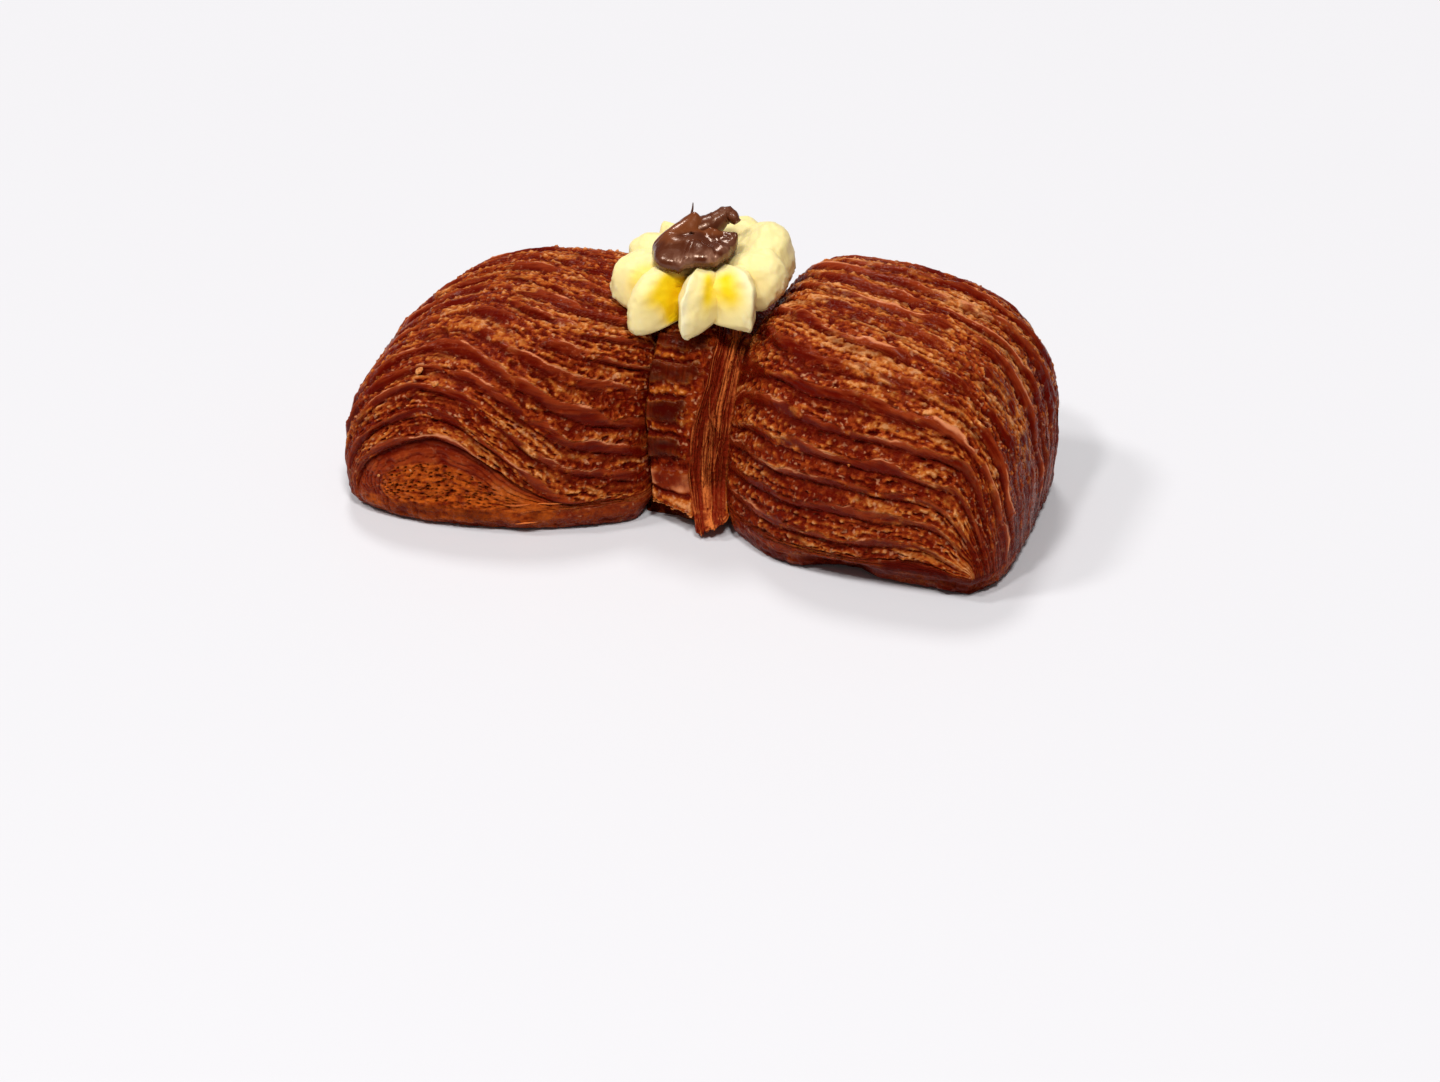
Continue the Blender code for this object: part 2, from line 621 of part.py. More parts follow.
def main():
    for item in list(bpy.data.objects):
        bpy.data.objects.remove(item)
    collection = bpy.data.collections.new(COLLECTION_NAME)
    bpy.context.scene.collection.children.link(collection)
    crust = make_material("baked_crust", (0.19, 0.045, 0.012), 0.38)
    layers = make_material("baked_layers", (0.24, 0.065, 0.015), 0.45)
    cream = make_material("piped_cream", (0.88, 0.76, 0.40), 0.5)
    chocolate = make_material("soft_chocolate", (0.06, 0.02, 0.01), 0.3)
    dough = build_dough(collection, crust)
    band = build_band(collection, layers)
    rosette = build_cream(collection, cream, surface_tree([dough, band]))
    dollop = build_chocolate(collection, chocolate, surface_tree([rosette]))
    centre_on_ground([dough, band, rosette, dollop])


main()
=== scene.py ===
"""Dressed model of a bow-shaped danish pastry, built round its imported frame.

The frame's solids give the size and place of four things: the bow of scored dough, the strip of
dough tied round its waist, the piped cream rosette and the chocolate on it. Here each of them is
worked out again as a fine surface with its ribs, crumb, layers, folds and threads, and gets its
finish. Lengths are metres, +Z is up, X runs along the bow and the front faces -Y.
"""

import logging
import math
from dataclasses import dataclass, field
from enum import Enum
from itertools import product
from typing import Any, Sequence, Union

import bpy
import numpy as np
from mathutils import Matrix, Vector


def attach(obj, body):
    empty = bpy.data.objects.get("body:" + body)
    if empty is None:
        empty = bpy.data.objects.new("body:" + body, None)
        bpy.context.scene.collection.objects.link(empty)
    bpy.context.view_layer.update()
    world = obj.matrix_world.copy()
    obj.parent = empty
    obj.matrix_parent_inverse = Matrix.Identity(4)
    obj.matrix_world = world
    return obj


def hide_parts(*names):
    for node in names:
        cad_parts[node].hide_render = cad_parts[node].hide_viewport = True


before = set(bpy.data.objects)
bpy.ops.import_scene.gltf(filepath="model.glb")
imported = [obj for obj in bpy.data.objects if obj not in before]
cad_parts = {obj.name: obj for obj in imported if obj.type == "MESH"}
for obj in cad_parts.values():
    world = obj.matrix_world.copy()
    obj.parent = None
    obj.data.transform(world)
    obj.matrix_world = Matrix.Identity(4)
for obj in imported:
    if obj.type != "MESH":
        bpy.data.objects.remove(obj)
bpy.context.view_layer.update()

Array = np.ndarray
Colour = tuple[float, float, float]
Triple = tuple[float, float, float]

MM = 0.001
# Radius of a foam's knob, in cells of the foam
KNOB_RADIUS = 0.60

log = logging.getLogger("pastry")


# ---------------------------------------------------------------------------------------------
# Numbers over arrays
# ---------------------------------------------------------------------------------------------


def smooth_step(low: float, high: float, value: Array) -> Array:
    """Rise from 0 at low to 1 at high with level ends: 3t^2 - 2t^3 of the clipped share t.

    Args:
        low: Value where the result is 0. It may be the larger of the two.
        high: Value where the result is 1.
        value: Numbers to map.

    Returns:
        Numbers from 0 to 1, in the shape of value.
    """
    t = np.clip((value - low) / (high - low), 0.0, 1.0)
    return t * t * (3.0 - 2.0 * t)


def blend(start: Any, end: Any, share: Array) -> Array:
    """Straight mix of two values: start where share is 0 and end where it is 1."""
    return start + (end - start) * share


def plateau(start: float, full: float, until: float, end: float, value: Array) -> Array:
    """Rise from 0 at start to 1 at full, and fall from 1 at until to 0 at end."""
    return smooth_step(start, full, value) * smooth_step(end, until, value)


def mm_step(low: float, high: float, value: Array) -> Array:
    """Smooth step of a length, between two lengths in millimetres."""
    return smooth_step(low * MM, high * MM, value)


def fraction(value: Array) -> Array:
    """What stands above the whole number below."""
    return value - np.floor(value)


def hump(share: Array, power: float = 1.0) -> Array:
    """Half wave of the sine over 0..1, raised to a power."""
    return np.sin(math.pi * share) ** power


def stacked(*parts: Any) -> Array:
    """Arrays or numbers, stretched to one shape, side by side in a new last axis."""
    return np.stack(np.broadcast_arrays(*parts), axis=-1)


def circle(count: int) -> Array:
    """Angles of so many even places round a full turn."""
    return 2.0 * math.pi * np.arange(count) / count


def drawn(rng: np.random.Generator, low: float, high: float, count: int) -> Array:
    """Column of random numbers between two limits."""
    return rng.uniform(low, high, count)[:, None]


def bump_at(value: Array, middle: float, width: float) -> Array:
    """Bell of height 1 round a middle: exp(-((value - middle) / width)^2)."""
    return np.exp(-(((value - middle) / width) ** 2))


def cell_random(cells: Array, seed: int) -> Array:
    """Random number in 0..1 for each whole-number cell, the same on every run.

    The three indices and the seed are multiplied by large odd numbers, combined by exclusive or,
    and stirred by two shifts and a multiplication. The low 24 bits give the number.

    Args:
        cells: Whole numbers in the last axis, three for each cell.
        seed: Which of many such fields to read.

    Returns:
        One number for each cell.
    """
    index = cells.astype(np.int64).astype(np.uint64)
    mixed = index[..., 0] * np.uint64(0x9E3779B97F4A7C15)
    mixed ^= index[..., 1] * np.uint64(0xC2B2AE3D27D4EB4F)
    mixed ^= index[..., 2] * np.uint64(0x165667B19E3779F9)
    mixed += np.uint64(seed * 2654435761 + 12345)
    mixed ^= mixed >> np.uint64(29)
    mixed *= np.uint64(0xBF58476D1CE4E5B9)
    mixed ^= mixed >> np.uint64(32)
    return (mixed & np.uint64(0xFFFFFF)).astype(float) / float(0xFFFFFF)


def value_noise(points: Array, seed: int) -> Array:
    """Smooth noise in -1..1 with features one unit across.

    Each lattice corner has a random number, and a point takes the smooth-stepped mix of the
    eight corners round it.

    Args:
        points: Places, three numbers in the last axis.
        seed: Which noise field to read.

    Returns:
        One number for each place.
    """
    base = np.floor(points)
    t = points - base
    t = t * t * (3.0 - 2.0 * t)
    total = np.zeros(points.shape[:-1])
    for corner in product((0, 1), repeat=3):
        offset = np.array(corner)
        weight = np.prod(np.where(offset == 1, t, 1.0 - t), axis=-1)
        total += weight * cell_random(base + offset, seed)
    return 2.0 * total - 1.0


def rough_noise(points: Array, seed: int, octaves: int = 3) -> Array:
    """Sum of value noises, each twice as fine and half as strong as the last.

    Args:
        points: Places, three numbers in the last axis.
        seed: Which noise field to read.
        octaves: How many noises are summed.

    Returns:
        One number for each place, in about -1..1.
    """
    total = np.zeros(points.shape[:-1])
    reach = 0.0
    for octave in range(octaves):
        share = 0.5**octave
        total += share * value_noise(points * 2.0**octave, seed + 31 * octave)
        reach += share
    return total / reach


def bubbles(points: Array, seed: int) -> tuple[Array, Array, Array]:
    """Distances to scattered centres, one in each unit cell, as in foam.

    Args:
        points: Places, three numbers in the last axis.
        seed: Which foam to read.

    Returns:
        The distance to the nearest centre, to the next nearest, and the nearest one's own
        random number.
    """
    base = np.floor(points)
    nearest = np.full(points.shape[:-1], 9.0)
    second = nearest.copy()
    tone = np.zeros(points.shape[:-1])
    for corner in product((-1, 0, 1), repeat=3):
        cell = base + np.array(corner)
        jitter = np.stack([cell_random(cell, seed + axis) for axis in range(3)], axis=-1)
        centre = cell + 0.5 + (jitter - 0.5)
        distance = np.linalg.norm(points - centre, axis=-1)
        closer = distance < nearest
        second = np.where(closer, nearest, np.minimum(second, distance))
        tone = np.where(closer, jitter[..., 0], tone)
        nearest = np.minimum(nearest, distance)
    return nearest, second, tone


def knobs(points: Array, seed: int, gain: float, loss: float) -> Array:
    """Rounded knobs of foam, tall or sunken by chance.

    A knob's height falls evenly to 0 at the knob's radius, times gain * tone - loss, where the
    tone is its own random number.

    Args:
        points: Places, three numbers in the last axis.
        seed: Which foam to read.
        gain: How much the tone raises a knob.
        loss: How far a knob of tone 0 is sunk.

    Returns:
        Height at each place, in cells.
    """
    near, _, tone = bubbles(points, seed)
    return np.clip(KNOB_RADIUS - near, 0.0, 1.0) * (gain * tone - loss)


def softened(values: Array, reach: int) -> Array:
    """Mean of a grid over a square of neighbours.

    Args:
        values: Numbers on the grid.
        reach: Steps to each side of a place that count.

    Returns:
        The means, in the grid's shape.
    """
    result = values
    for axis in range(2):
        margin = [(reach, reach) if i == axis else (0, 0) for i in range(2)]
        padded = np.pad(result, margin, mode="edge")
        size = result.shape[axis]
        shifted = [padded.take(np.arange(i, i + size), axis=axis) for i in range(2 * reach + 1)]
        result = np.mean(shifted, axis=0)
    return result


def unit(vectors: Array) -> Array:
    """Vectors of length 1 in the same directions."""
    return vectors / np.maximum(np.linalg.norm(vectors, axis=-1, keepdims=True), 1e-12)


def along_grid(points: Array) -> tuple[Array, Array, Array]:
    """Directions on a grid of points.

    Args:
        points: Places on the grid.

    Returns:
        The unit normal, and the unit steps along the first and the second axis.
    """
    first = np.gradient(points, axis=0)
    second = np.gradient(points, axis=1)
    return unit(np.cross(first, second)), unit(first), unit(second)


def run_length(points: Array) -> Array:
    """Distance walked along the first axis of a grid of points, starting at 0."""
    steps = np.linalg.norm(np.diff(points, axis=0), axis=-1)
    return np.concatenate([np.zeros((1, points.shape[1])), np.cumsum(steps, axis=0)])


# ---------------------------------------------------------------------------------------------
# Meshes
# ---------------------------------------------------------------------------------------------


def quads_of(order: Array) -> Array:
    """Four vertex numbers for each quad between neighbours in a grid of vertex numbers."""
    corners = (order[:-1, :-1], order[1:, :-1], order[1:, 1:], order[:-1, 1:])
    return stacked(*corners).reshape(-1, 4)


def grid_quads(rows: int, columns: int, first: int = 0, wrap: bool = False) -> Array:
    """Corner numbers of the quads between neighbours on a grid.

    Args:
        rows: Size of the grid's first axis.
        columns: Size of its second axis.
        first: Number of the grid's first vertex.
        wrap: Whether the second axis closes on itself.

    Returns:
        Four vertex numbers for each quad.
    """
    order = first + np.arange(rows * columns).reshape(rows, columns)
    return quads_of(np.pad(order, ((0, 0), (0, int(wrap))), mode="wrap"))


def ring_caps(rings: int, around: int, count: int = 1) -> list[list[int]]:
    """Faces that close both ends of grids of rings, which follow each other.

    Args:
        rings: Rings in a grid.
        around: Vertices in a ring.
        count: Number of grids.

    Returns:
        Vertex numbers of two faces for each grid.
    """
    caps = []
    for first in range(0, count * rings * around, rings * around):
        last = first + (rings - 1) * around
        caps.append(list(range(first, first + around))[::-1])
        caps.append(list(range(last, last + around)))
    return caps


def ring_quads(rings: int, around: int, count: int = 1) -> Array:
    """Corner numbers of the quads on grids of rings, which follow each other.

    Args:
        rings: Rings in a grid.
        around: Vertices in a ring.
        count: Number of grids.

    Returns:
        Four vertex numbers for each quad.
    """
    size = rings * around
    return np.concatenate([grid_quads(rings, around, i * size, wrap=True) for i in range(count)])


@dataclass
class Shell:
    """A closed surface and what is painted on its vertices, gathered before it becomes a mesh."""

    points: Array
    quads: Array
    caps: list[list[int]] = field(default_factory=list)
    paint: dict[str, Array] = field(default_factory=dict)

    def volume(self) -> float:
        """Signed volume: the sum of the tetrahedra from the origin to each triangle.

        Returns:
            The volume, which is negative where the faces look inwards.
        """
        fans = [self.quads[:, [0, 1, 2]], self.quads[:, [0, 2, 3]]]
        for cap in self.caps:
            fan = [(cap[0], cap[i], cap[i + 1]) for i in range(1, len(cap) - 1)]
            fans.append(np.array(fan))
        corner = self.points[np.concatenate(fans)]
        return float(np.einsum("ij,ij->", corner[:, 0], np.cross(corner[:, 1], corner[:, 2]))) / 6

    def make(self, name: str, material: bpy.types.Material) -> bpy.types.Object:
        """Mesh object with its faces outwards, shaded smooth, with its painted attributes.

        Args:
            name: Name of the object and its mesh.
            material: Its one material.

        Returns:
            The new object, at the origin.
        """
        outward = self.volume() > 0.0
        quads = self.quads if outward else self.quads[:, ::-1]
        caps = self.caps if outward else [cap[::-1] for cap in self.caps]
        mesh = bpy.data.meshes.new(name)
        mesh.from_pydata(self.points, [], quads.tolist() + caps)
        for label, values in self.paint.items():
            kind = "FLOAT_VECTOR" if values.shape[-1] == 3 else "FLOAT_COLOR"
            layer = mesh.attributes.new(label, kind, "POINT")
            field_name = "vector" if kind == "FLOAT_VECTOR" else "color"
            layer.data.foreach_set(field_name, values.astype(np.float32).ravel())
        mesh.shade_smooth()
        mesh.materials.append(material)
        piece = bpy.data.objects.new(name, mesh)
        bpy.context.scene.collection.objects.link(piece)
        return piece


def ring_shell(points: Array, paint: dict[str, Array]) -> Shell:
    """Body from one grid of rings, whose two ends are closed by a flat face each.

    Args:
        points: Places, as ring, place round the ring, and three coordinates.
        paint: What is painted on the vertices.

    Returns:
        The closed shell.
    """
    size = points.shape[:2]
    return Shell(points.reshape(-1, 3), ring_quads(*size), ring_caps(*size), paint)


def joined(shells: Sequence[Shell]) -> Shell:
    """Gather shells in one.

    Args:
        shells: Shells with the same kinds of paint.

    Returns:
        The shell that holds them all, with their paint.
    """
    first = 0
    quads = []
    caps: list[list[int]] = []
    for shell in shells:
        quads.append(shell.quads + first)
        caps.extend([index + first for index in cap] for cap in shell.caps)
        first += len(shell.points)
    labels = shells[0].paint
    paint = {label: np.concatenate([shell.paint[label] for shell in shells]) for label in labels}
    return Shell(np.concatenate([s.points for s in shells]), np.concatenate(quads), caps, paint)


def rgba(*channels: Array) -> Array:
    """Three painted masks side by side, with a fourth channel of 1."""
    return stacked(*(np.clip(channel, 0.0, 1.0).ravel() for channel in channels), 1.0)


def crust_paint(shell: Shell, zones: Colour, layers: float, tone: Array, base: float = 0.0) -> None:
    """Paint small pieces of crust, which differ in tone alone.

    Args:
        shell: The pieces.
        zones: Share of glazed skin, shade and gold.
        layers: Share of open layers.
        tone: Brightness of each vertex.
        base: Share of the base's colour.
    """
    even = np.zeros(len(shell.points))
    shell.paint = {
        "zones": rgba(*(even + share for share in zones)),
        "cut": rgba(even + layers, tone, even + base),
        "flow": shell.points,
    }


def tubes(paths: Array, radii: Array, sides: int, flatten: float = 1.0) -> Shell:
    """Closed threads: a ring of points round each place of each path, and a cap at both ends.

    A ring's point is the path's point plus cos and sin of its angle times the radius along two
    directions square to the path, the second of them shortened by the flattening.

    Args:
        paths: Places, as thread, step along the thread, and three coordinates.
        radii: Radius for each thread and step.
        sides: Points in a ring.
        flatten: Thickness of a thread beside its width.

    Returns:
        The joined threads, without paint.
    """
    count, steps = paths.shape[:2]
    direction = unit(np.gradient(paths, axis=1))
    side = unit(np.cross(direction, np.array([0.13, 0.21, 0.97])))
    upper = np.cross(side, direction)
    turn = circle(sides)[:, None]
    ring = side[:, :, None] * np.cos(turn) + upper[:, :, None] * (flatten * np.sin(turn))
    points = paths[:, :, None] + ring * radii[:, :, None, None]
    quads = ring_quads(steps, sides, count)
    return Shell(points.reshape(-1, 3), quads, ring_caps(steps, sides, count))


# ---------------------------------------------------------------------------------------------
# Shader expressions
# ---------------------------------------------------------------------------------------------


Number = Union["Signal", float]


class Signal:
    """A number that varies over a surface, which can be used in sums like a plain one."""

    def __init__(self, graph: "Graph", socket: bpy.types.NodeSocket) -> None:
        """Wrap an output socket of one of the graph's nodes."""
        self.graph = graph
        self.socket = socket

    def _math(self, operation: str, first: Number, second: Number = 0.0) -> "Signal":
        """Math node on two numbers."""
        node = self.graph.node("ShaderNodeMath", {"operation": operation}, {0: first, 1: second})
        return Signal(self.graph, node.outputs[0])

    def __add__(self, other: Number) -> "Signal":
        """Sum."""
        return self._math("ADD", self, other)

    __radd__ = __add__

    def __sub__(self, other: Number) -> "Signal":
        """Difference."""
        return self._math("SUBTRACT", self, other)

    def __rsub__(self, other: Number) -> "Signal":
        """Difference from a plain number."""
        return self._math("SUBTRACT", other, self)

    def __mul__(self, other: Number) -> "Signal":
        """Product."""
        return self._math("MULTIPLY", self, other)

    __rmul__ = __mul__

    def rise(self, low: float, high: float) -> "Signal":
        """Smooth step from 0 at low to 1 at high.

        Args:
            low: Value where the result is 0. It may be the larger of the two.
            high: Value where the result is 1.

        Returns:
            The step.
        """
        settings = {"interpolation_type": "SMOOTHSTEP"}
        values = {0: self, 1: low, 2: high, 3: 0.0, 4: 1.0}
        if low > high:
            values = {0: self, 1: high, 2: low, 3: 1.0, 4: 0.0}
        node = self.graph.node("ShaderNodeMapRange", settings, values)
        return Signal(self.graph, node.outputs[0])


class Graph:
    """The node tree of one material, written as expressions."""

    def __init__(self, name: str) -> None:
        """Start a material that holds only its output and its Principled shader.

        Args:
            name: Name of the material.
        """
        self.material = bpy.data.materials.new(name)
        self.material.use_nodes = True
        self.tree = self.material.node_tree
        self.shader = self.tree.nodes["Principled BSDF"]

    def put(self, socket: bpy.types.NodeSocket, value: Any) -> None:
        """Give an input socket its value.

        Args:
            socket: The input socket.
            value: A plain value, or a signal or output socket to link.
        """
        if isinstance(value, Signal):
            self.tree.links.new(value.socket, socket)
        elif isinstance(value, bpy.types.NodeSocket):
            self.tree.links.new(value, socket)
        elif isinstance(value, tuple) and socket.type == "RGBA":
            socket.default_value = (*value, 1.0)
        else:
            socket.default_value = value

    def node(self, kind: str, settings: dict[str, Any], inputs: dict[Any, Any]) -> bpy.types.Node:
        """New node.

        Args:
            kind: The node's type.
            settings: Its own settings, which are set first.
            inputs: Values or links for its sockets, by name or number.

        Returns:
            The node.
        """
        made = self.tree.nodes.new(kind)
        for label, value in settings.items():
            setattr(made, label, value)
        for label, value in inputs.items():
            self.put(made.inputs[label], value)
        return made

    def attribute(self, name: str) -> bpy.types.Node:
        """Attribute node that reads what is painted on the vertices."""
        return self.node("ShaderNodeAttribute", {"attribute_name": name}, {})

    def painted(self, name: str) -> tuple[Signal, Signal, Signal]:
        """Read a painted colour.

        Args:
            name: The attribute's name.

        Returns:
            Its three masks.
        """
        colour = self.attribute(name).outputs["Color"]
        split = self.node("ShaderNodeSeparateColor", {}, {0: colour})
        return tuple(Signal(self, split.outputs[i]) for i in range(3))

    def place(self) -> bpy.types.NodeSocket:
        """Object coordinates."""
        return self.node("ShaderNodeTexCoord", {}, {}).outputs["Object"]

    def stretched(self, vector: bpy.types.NodeSocket, scale: Triple) -> bpy.types.NodeSocket:
        """A vector multiplied by three numbers."""
        inputs = {0: vector, 1: scale}
        return self.node("ShaderNodeVectorMath", {"operation": "MULTIPLY"}, inputs).outputs[0]

    def noise(
        self, vector: bpy.types.NodeSocket, scale: float, detail: float = 2.0, twist: float = 0.0
    ) -> Signal:
        """Noise texture, in about 0..1 round 0.5."""
        inputs = {"Vector": vector, "Scale": scale, "Detail": detail, "Distortion": twist}
        return Signal(self, self.node("ShaderNodeTexNoise", {}, inputs).outputs[0])

    def cells(self, vector: bpy.types.NodeSocket, scale: float) -> Signal:
        """Distance to the nearest of scattered points, 0 at a point."""
        inputs = {"Vector": vector, "Scale": scale, "Randomness": 1.0}
        return Signal(self, self.node("ShaderNodeTexVoronoi", {}, inputs).outputs["Distance"])

    def mix(self, first: Any, second: Any, share: Number) -> bpy.types.NodeSocket:
        """Mix two colours.

        Args:
            first: Colour where the share is 0.
            second: Colour where the share is 1.
            share: Share of the second.

        Returns:
            The colour's socket.
        """
        made = self.node("ShaderNodeMix", {"data_type": "RGBA"}, {0: share})
        self.put(made.inputs[6], first)
        self.put(made.inputs[7], second)
        return made.outputs[2]

    def bump(self, height: Signal, distance: float, strength: float) -> bpy.types.NodeSocket:
        """Normal from a height, which counts in units of the distance."""
        inputs = {"Strength": strength, "Distance": distance, "Height": height}
        return self.node("ShaderNodeBump", {}, inputs).outputs[0]

    def finish(self, **sockets: Any) -> bpy.types.Material:
        """Set the shader's sockets.

        Args:
            sockets: Value or link for each socket, whose name has _ for each space.

        Returns:
            The material.
        """
        for label, value in sockets.items():
            self.put(self.shader.inputs[label.replace("_", " ")], value)
        return self.material


# ---------------------------------------------------------------------------------------------
# Finishes
# ---------------------------------------------------------------------------------------------


@dataclass(frozen=True)
class BakedCrust:
    """Laminated dough baked dark: glazed strips, porous crumb between them, and cut layers.

    The mesh paints "zones" (glazed skin, painted shade, gold) and "cut" (open layers, tone,
    base), and "flow" runs along and across the ribs. The gold and the tone also carry painted
    light and shade.
    """

    name: str
    skin_deep: Colour = (0.105, 0.0028, 0.0004)
    skin_warm: Colour = (0.262, 0.0320, 0.0065)
    skin_pale_and_highlight: Colour = (0.680, 0.2300, 0.1000)
    crumb_deep: Colour = (0.125, 0.0042, 0.0005)
    crumb_brown: Colour = (0.300, 0.0380, 0.0050)
    crumb_gold: Colour = (0.495, 0.1260, 0.0180)
    crumb_light: Colour = (0.720, 0.3000, 0.1050)
    shade: Colour = (0.070, 0.0011, 0.0002)
    amber: Colour = (0.560, 0.1040, 0.0090)
    amber_deep: Colour = (0.140, 0.0055, 0.0006)
    base: Colour = (0.130, 0.0110, 0.0015)
    painted_glint: Colour = (0.580, 0.2500, 0.1200)
    glint: Colour = (1.0, 0.43, 0.20)
    gloss: float = 0.17
    matte: float = 0.30

    def material(self) -> bpy.types.Material:
        """Build the material.

        Returns:
            The material. Its colour goes from porous to glazed by the painted skin, is mottled
            by noise along the ribs, takes painted highlights and glints, and is darkened by the
            painted shade.
        """
        g = Graph(self.name)
        skin, shade, gold = g.painted("zones")
        layers, tone, base = g.painted("cut")
        flow = g.attribute("flow").outputs["Vector"]
        place = g.place()
        grain = g.noise(place, 1500.0, 3.0)
        fleck = g.noise(place, 620.0, 2.0)
        cloud = g.noise(place, 110.0, 2.0)
        streak = g.noise(g.stretched(flow, (220.0, 1700.0, 0.0)), 1.0, 3.0, 0.4)
        pits = g.cells(place, 1100.0)
        skin_share = (tone * 1.1 + (streak - 0.5) * 1.1 + (cloud - 0.5) * 1.0).rise(0.0, 0.9)
        skin_tint = g.mix(self.skin_deep, self.skin_warm, skin_share)
        # painted highlight: the top of the tone, along each strip's upper edge, takes this pale
        # colour, which also tints the band's pale lobe
        skin_tint = g.mix(skin_tint, self.skin_pale_and_highlight, tone.rise(0.72, 1.0))
        # the gold share carries painted light on crests and painted shade in hollows, so the
        # lighter crumb tints are partly painted light
        crumb_share = gold + (fleck - 0.5) * 1.0 + (grain - 0.5) * 0.8 + (cloud - 0.5) * 0.3
        crumb_tint = g.mix(self.crumb_deep, self.crumb_brown, crumb_share.rise(-0.1, 0.4))
        crumb_tint = g.mix(crumb_tint, self.crumb_gold, crumb_share.rise(0.35, 0.75))
        crumb_tint = g.mix(crumb_tint, self.crumb_light, crumb_share.rise(0.74, 1.15))
        # painted glints: small light specks on the crumb, fewer where shade is painted
        glint_share = g.noise(place, 950.0, 1.0).rise(0.60, 0.74) * (1.0 - shade * 0.5)
        crumb_tint = g.mix(crumb_tint, self.painted_glint, glint_share * 0.80)
        tint = g.mix(crumb_tint, skin_tint, skin)
        amber_share = (tone + (grain - 0.5) * 0.5 + (streak - 0.5) * 0.6).rise(0.1, 0.95)
        amber_tint = g.mix(self.amber_deep, self.amber, amber_share)
        tint = g.mix(tint, amber_tint, layers)
        tint = g.mix(tint, self.base, base)
        tint = g.mix(tint, self.shade, shade)
        dry = 1.0 - skin
        height = grain * (0.5 + dry * 0.7) + fleck * (0.5 + dry * 1.0) + pits * dry + streak * 0.45
        rough = self.matte - (self.matte - self.gloss) * skin + (fleck - 0.5) * 0.25 + shade * 0.25
        return g.finish(
            Base_Color=tint,
            Roughness=rough,
            Specular_IOR_Level=0.09,
            Specular_Tint=self.glint,
            Coat_Weight=(skin - shade).rise(0.0, 1.0) * 0.04,
            Coat_Roughness=0.14,
            Coat_IOR=1.45,
            Normal=g.bump(height, 0.38 * MM, 0.75),
        )


@dataclass(frozen=True)
class WhippedCream:
    """Butter cream: pale where light falls on it, deep yellow down in the grooves.

    The mesh paints "zones": groove, with painted shade on flanks; torn edge, with painted
    highlights on the ridges' lips; and hollow.
    """

    name: str = "whipped_cream"
    pale: Colour = (0.975, 0.800, 0.360)
    yellow: Colour = (0.970, 0.670, 0.006)
    # pale colour of torn edges and of the painted highlights on the ridges' lips
    edge: Colour = (0.990, 0.880, 0.560)

    def material(self) -> bpy.types.Material:
        """Build the material: yellow by the painted groove and shade, pale on torn edges and
        painted highlights, with soft mottling and fine grain.

        Returns:
            The material.
        """
        g = Graph(self.name)
        groove, torn, _ = g.painted("zones")
        place = g.place()
        cloud = g.noise(place, 160.0, 2.0)
        grain = g.noise(place, 1400.0, 3.0)
        share = (groove * 1.1 + (cloud - 0.5) * 0.35).rise(0.0, 1.0)
        tint = g.mix(self.pale, self.yellow, share)
        tint = g.mix(tint, self.edge, torn)
        return g.finish(
            Base_Color=tint,
            Roughness=0.46 + (grain - 0.5) * 0.2,
            Specular_IOR_Level=0.25,
            Subsurface_Weight=0.18,
            Subsurface_Radius=(1.0, 0.7, 0.2),
            Subsurface_Scale=2.0 * MM,
            Normal=g.bump(grain * 0.6 + cloud, 0.25 * MM, 0.35),
        )


@dataclass(frozen=True)
class SoftChocolate:
    """Thick glossy chocolate, thinner and greyer along its smeared edge.

    The mesh paints "zones": smear, painted light on crests, and rough curl.
    """

    name: str = "soft_chocolate"
    deep: Colour = (0.080, 0.0135, 0.0022)
    warm: Colour = (0.185, 0.0440, 0.0095)
    smeared: Colour = (0.360, 0.1700, 0.1050)

    def material(self) -> bpy.types.Material:
        """Build the material: warm on crests as painted light, greyish where it is smeared
        thin, glossy.

        Returns:
            The material.
        """
        g = Graph(self.name)
        smear, crest, rough = g.painted("zones")
        place = g.place()
        swirl = g.noise(place, 260.0, 3.0, 1.2)
        grain = g.noise(place, 1600.0, 3.0)
        tint = g.mix(self.deep, self.warm, (crest * 0.8 + swirl * 0.8 - 0.4).rise(0.0, 1.0))
        tint = g.mix(tint, self.smeared, smear * swirl.rise(0.35, 0.65))
        return g.finish(
            Base_Color=tint,
            Roughness=0.26 + rough * 0.3 + (swirl - 0.5) * 0.2,
            Specular_IOR_Level=0.60,
            Specular_Tint=(1.0, 0.66, 0.45),
            Coat_Weight=0.22,
            Coat_Roughness=0.12,
            Coat_IOR=1.45,
            Normal=g.bump(swirl + grain * (0.3 + rough), 0.22 * MM, 0.45),
        )


@dataclass(frozen=True)
class PaleFloor:
    """Plain pale ground."""

    name: str = "pale_floor"
    tint: Colour = (0.762, 0.755, 0.769)

    def material(self) -> bpy.types.Material:
        """Build the material: almost white with the faintest mottling.

        Returns:
            The material.
        """
        g = Graph(self.name)
        cloud = g.noise(g.place(), 6.0, 2.0)
        darker = tuple(0.985 * channel for channel in self.tint)
        return g.finish(Base_Color=g.mix(self.tint, darker, cloud), Roughness=0.5)


# ---------------------------------------------------------------------------------------------
# The dough's form
# ---------------------------------------------------------------------------------------------


class Side(Enum):
    """The two wings, by the sign of X."""

    LEFT = -1
    RIGHT = 1


class Half(Enum):
    """The two halves of a wing, which meet under the lip of a rib near the crest."""

    FRONT = "front"
    BACK = "back"


@dataclass(frozen=True)
class WingSizes:
    """Sizes of one wing in mm, from the pillow's axis: at the full wing, what flares add at its
    end, the lengths over which it swells in plan and in height, and the step at the band."""

    front: float
    back: float
    height: float
    front_flare: float
    back_flare: float
    height_flare: float
    shoulder: float
    rise: float
    step: float


